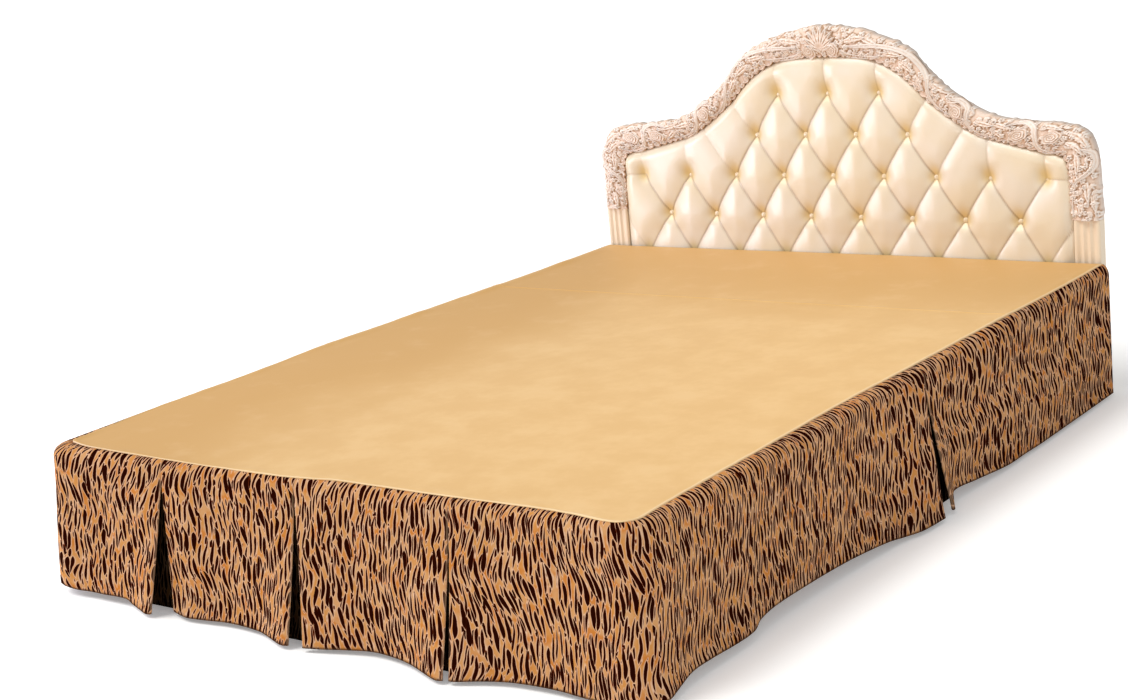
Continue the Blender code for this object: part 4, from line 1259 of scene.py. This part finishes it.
def make_padding():
    """The buttoned padding: full pillows between sharp creases, with a deep dimple at each button."""
    side = POST_INNER_X - PADDING_NEAR
    columns = round(2 * side / PADDING_STEP) + 1
    rows = round((CREST[-1][1] - PANEL_BOTTOM_Z) / PADDING_STEP) + 1
    xs = np.repeat(np.linspace(-side, side, columns)[None, :], rows, axis=0)
    top = crest_inner_z(xs) - 1.6 * PADDING_NEAR
    zs = PANEL_BOTTOM_Z + np.linspace(0.0, 1.0, rows)[:, None] * (top - PANEL_BOTTOM_Z)
    creases, line = np.zeros_like(xs), np.zeros_like(xs)
    for start, end, strength in padding_creases():
        run = np.array(end) - np.array(start)
        share = np.clip(((xs - start[0]) * run[0] + (zs - start[1]) * run[1]) / (run @ run), 0.0, 1.0)
        away = np.hypot(xs - start[0] - share * run[0], zs - start[1] - share * run[1])
        reach = PILLOW_REACH * (1.0 if strength == 1.0 else FAINT_REACH)
        creases += (strength * np.clip(1.0 - away / reach, 0.0, 1.0) ** PILLOW_POWER) ** SOFTNESS
        line = np.maximum(line, 0.70 * strength * bell(away, FOLD_LINE))
    dimple = np.full_like(xs, 1.0)
    for x, z in padding_buttons():
        dimple = np.minimum(dimple, np.hypot((xs - x) * 1.15, (zs - z) * np.where(zs > z, 0.72, 1.15)))
    # the dimples' depth, which the leather also paints as yellow shade
    hollow = bell(dimple, DIMPLE_REACH)
    drop = PILLOW_DEPTH * creases ** (1.0 / SOFTNESS) + FOLD_LINE_DEPTH * line + DIMPLE_DEPTH * hollow
    drop *= mix(BEHIND_BED, 1.0, np.clip((zs - TOP_Z + 0.02) / 0.07, 0.0, 1.0))
    below = np.maximum(top + PADDING_NEAR - zs, 0.0)
    edge = np.minimum(POST_INNER_X - np.abs(xs), below)
    roll = FRAME_ROLL * np.clip(1.0 - edge / FRAME_ROLL_REACH, 0.0, 1.0) ** 2.2
    ys = PANEL_FRONT_Y + np.minimum(drop + roll, PADDING_LIMIT)
    # a painted shadow line along the padding's edge below the crest
    line = np.maximum(line, bell(below, FRAME_SHADOW_LINE))
    points = np.stack((xs, ys, zs), axis=-1).reshape(-1, 3).tolist()
    border, start = rim_of_grid(rows, columns), len(points)
    points += [(points[i][0], PANEL_BACK_Y, points[i][2]) for i in border]
    count = len(border)
    faces = grid_faces(rows, columns)
    faces += [(border[i], start + i, start + (i + 1) % count, border[(i + 1) % count]) for i in range(count)]
    faces.append(tuple(range(start, start + count)))
    marks = {"hollow": np.append(hollow, np.zeros(count)), "crease": np.append(line, np.zeros(count))}
    piece = add_piece("headboard_padding", points, faces, [LEATHER, LINING],
                      ["headboard_panel"], marks=marks)
    piece.data.polygons[len(faces) - 1].material_index = 1


def make_buttons():
    """Small leather buttons at the bottom of the dimples."""
    buttons = Forms()
    rings, spokes = 6, 20
    base_y = PANEL_FRONT_Y + BUTTON_SET
    for x, z in padding_buttons():
        points = [(x, base_y - BUTTON_HEIGHT, z)]
        for i in range(1, rings + 1):
            lean = math.pi / 2 * i / rings
            y = base_y - BUTTON_HEIGHT * math.cos(lean) ** 0.7 if i < rings else base_y + BURY
            ring = circle(BUTTON_RADIUS * math.sin(lean), spokes)
            points += [(x + across, y, z + up) for across, up in ring]
        buttons.add(points, dome_faces(rings, spokes), [BUTTON_SHADE] * len(points))
    add_piece("headboard_buttons", buttons.points, buttons.faces, [LEATHER],
              marks={"hollow": buttons.tones})


# Bed base

def finish_base():
    """Materials for the model's own bed frame, legs, rail and box spring."""
    looks = {"bed_frame": DARK_WOOD, "headboard_rail": PLAIN_PAINT, "box_spring": TICKING}
    looks.update({f"leg_{number}": DARK_WOOD for number in range(1, 7)})
    for name, made in looks.items():
        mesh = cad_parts[name].data
        mesh.materials.clear()
        mesh.materials.append(made)


# Stage

CAMERA_PLACE = (2.62833, -3.57324, 1.40959)
CAMERA_YAW = -0.66011
CAMERA_PITCH = 0.23633
CAMERA_ROLL = -0.10144
LENS_MM = 64.09
SENSOR_MM = 36.0
FLOOR_REACH = 120.0
FLOOR_DROP = 0.0005         # the floor lies this far below the legs


def make_camera():
    """A camera where the photograph's viewpoint is, turned by yaw, pitch and roll."""
    yaw, pitch, roll = CAMERA_YAW, CAMERA_PITCH, CAMERA_ROLL
    forward = Vector((math.sin(yaw) * math.cos(pitch), math.cos(yaw) * math.cos(pitch), -math.sin(pitch)))
    level = Vector((math.cos(yaw), -math.sin(yaw), 0.0))
    up = level.cross(forward)
    right = level * math.cos(roll) + up * math.sin(roll)
    up = up * math.cos(roll) - level * math.sin(roll)
    data = bpy.data.cameras.new("camera")
    data.lens, data.sensor_width = LENS_MM, SENSOR_MM
    data.clip_start, data.clip_end = 0.05, 400.0
    camera = add_object("camera", data)
    turn = Matrix((right, up, -forward)).transposed().to_4x4()
    camera.matrix_world = Matrix.Translation(CAMERA_PLACE) @ turn
    bpy.context.scene.camera = camera


def add_light(name, kind, place, aim, power, colour, **settings):
    data = bpy.data.lights.new(name, kind)
    data.energy, data.color = power, colour
    for key, value in settings.items():
        setattr(data, key, value)
    light = add_object(name, data)
    light.location = place
    light.rotation_euler = (Vector(aim) - Vector(place)).to_track_quat("-Z", "Y").to_euler()


def make_stage():
    """A pale floor, a white surround and soft lights, brightest from the left."""
    shader = Shader("pale_floor", (0.95, 0.95, 0.95))
    shader.paint(shader.noise(shader.place(), 0.8), (0.97, 0.97, 0.97))
    mesh = bpy.data.meshes.new("floor")
    corners = [(x * FLOOR_REACH, y * FLOOR_REACH, 0.0) for x, y in ((-1, -1), (1, -1), (1, 1), (-1, 1))]
    mesh.from_pydata(corners, [], [(0, 1, 2, 3)])
    mesh.materials.append(shader.finish(Roughness=0.9, Specular_IOR_Level=0.1,
                                        Emission_Color=(1.0, 1.0, 1.0), Emission_Strength=0.24))
    floor = add_object("floor", mesh)
    floor.location.z = -FLOOR_DROP
    world = bpy.data.worlds.new("surround")
    world.use_nodes = True
    background = world.node_tree.nodes["Background"].inputs
    background["Color"].default_value = (1.0, 1.0, 1.0, 1.0)
    background["Strength"].default_value = 0.45
    bpy.context.scene.world = world
    bpy.context.scene.view_settings.view_transform = "Standard"
    add_light("key", "SUN", (-1.6, -1.7, 3.6), (0.0, 0.0, 0.0), 2.02, (1.0, 0.985, 0.95), angle=0.6)
    add_light("fill", "AREA", (2.8, -2.5, 0.9), (0.75, -0.9, 0.15), 11.5, (1.0, 0.98, 0.95),
              shape="DISK", size=1.4)
    add_light("window", "AREA", (-2.7, -1.4, 0.66), (0.0, 1.0, 0.60), 40.0, (0.88, 0.84, 1.0),
              shape="RECTANGLE", size=0.7, size_y=1.4)
    add_light("overhead", "AREA", (0.5, -0.5, 2.4), (0.4, -0.4, 0.0), 13.0, (1.0, 0.99, 0.97),
              shape="DISK", size=1.2)


# the print inside the pleats is the same print darkened almost to black: painted shade
PRINT, PLEAT_PAINTED_SHADE = striped_print(), striped_print("pleat_painted_shade", 0.045)
GOLD, LEATHER, LINING = gold_satin(), pearl_leather(), lining()
CARVED, PLAIN_PAINT, DARK_WOOD, TICKING = carved_paint(), plain_paint(), dark_wood(), ticking()

make_camera()
make_stage()
make_skirt_sides()
make_gold_cloths()
make_crest()
make_posts()
make_padding()
make_buttons()
finish_base()
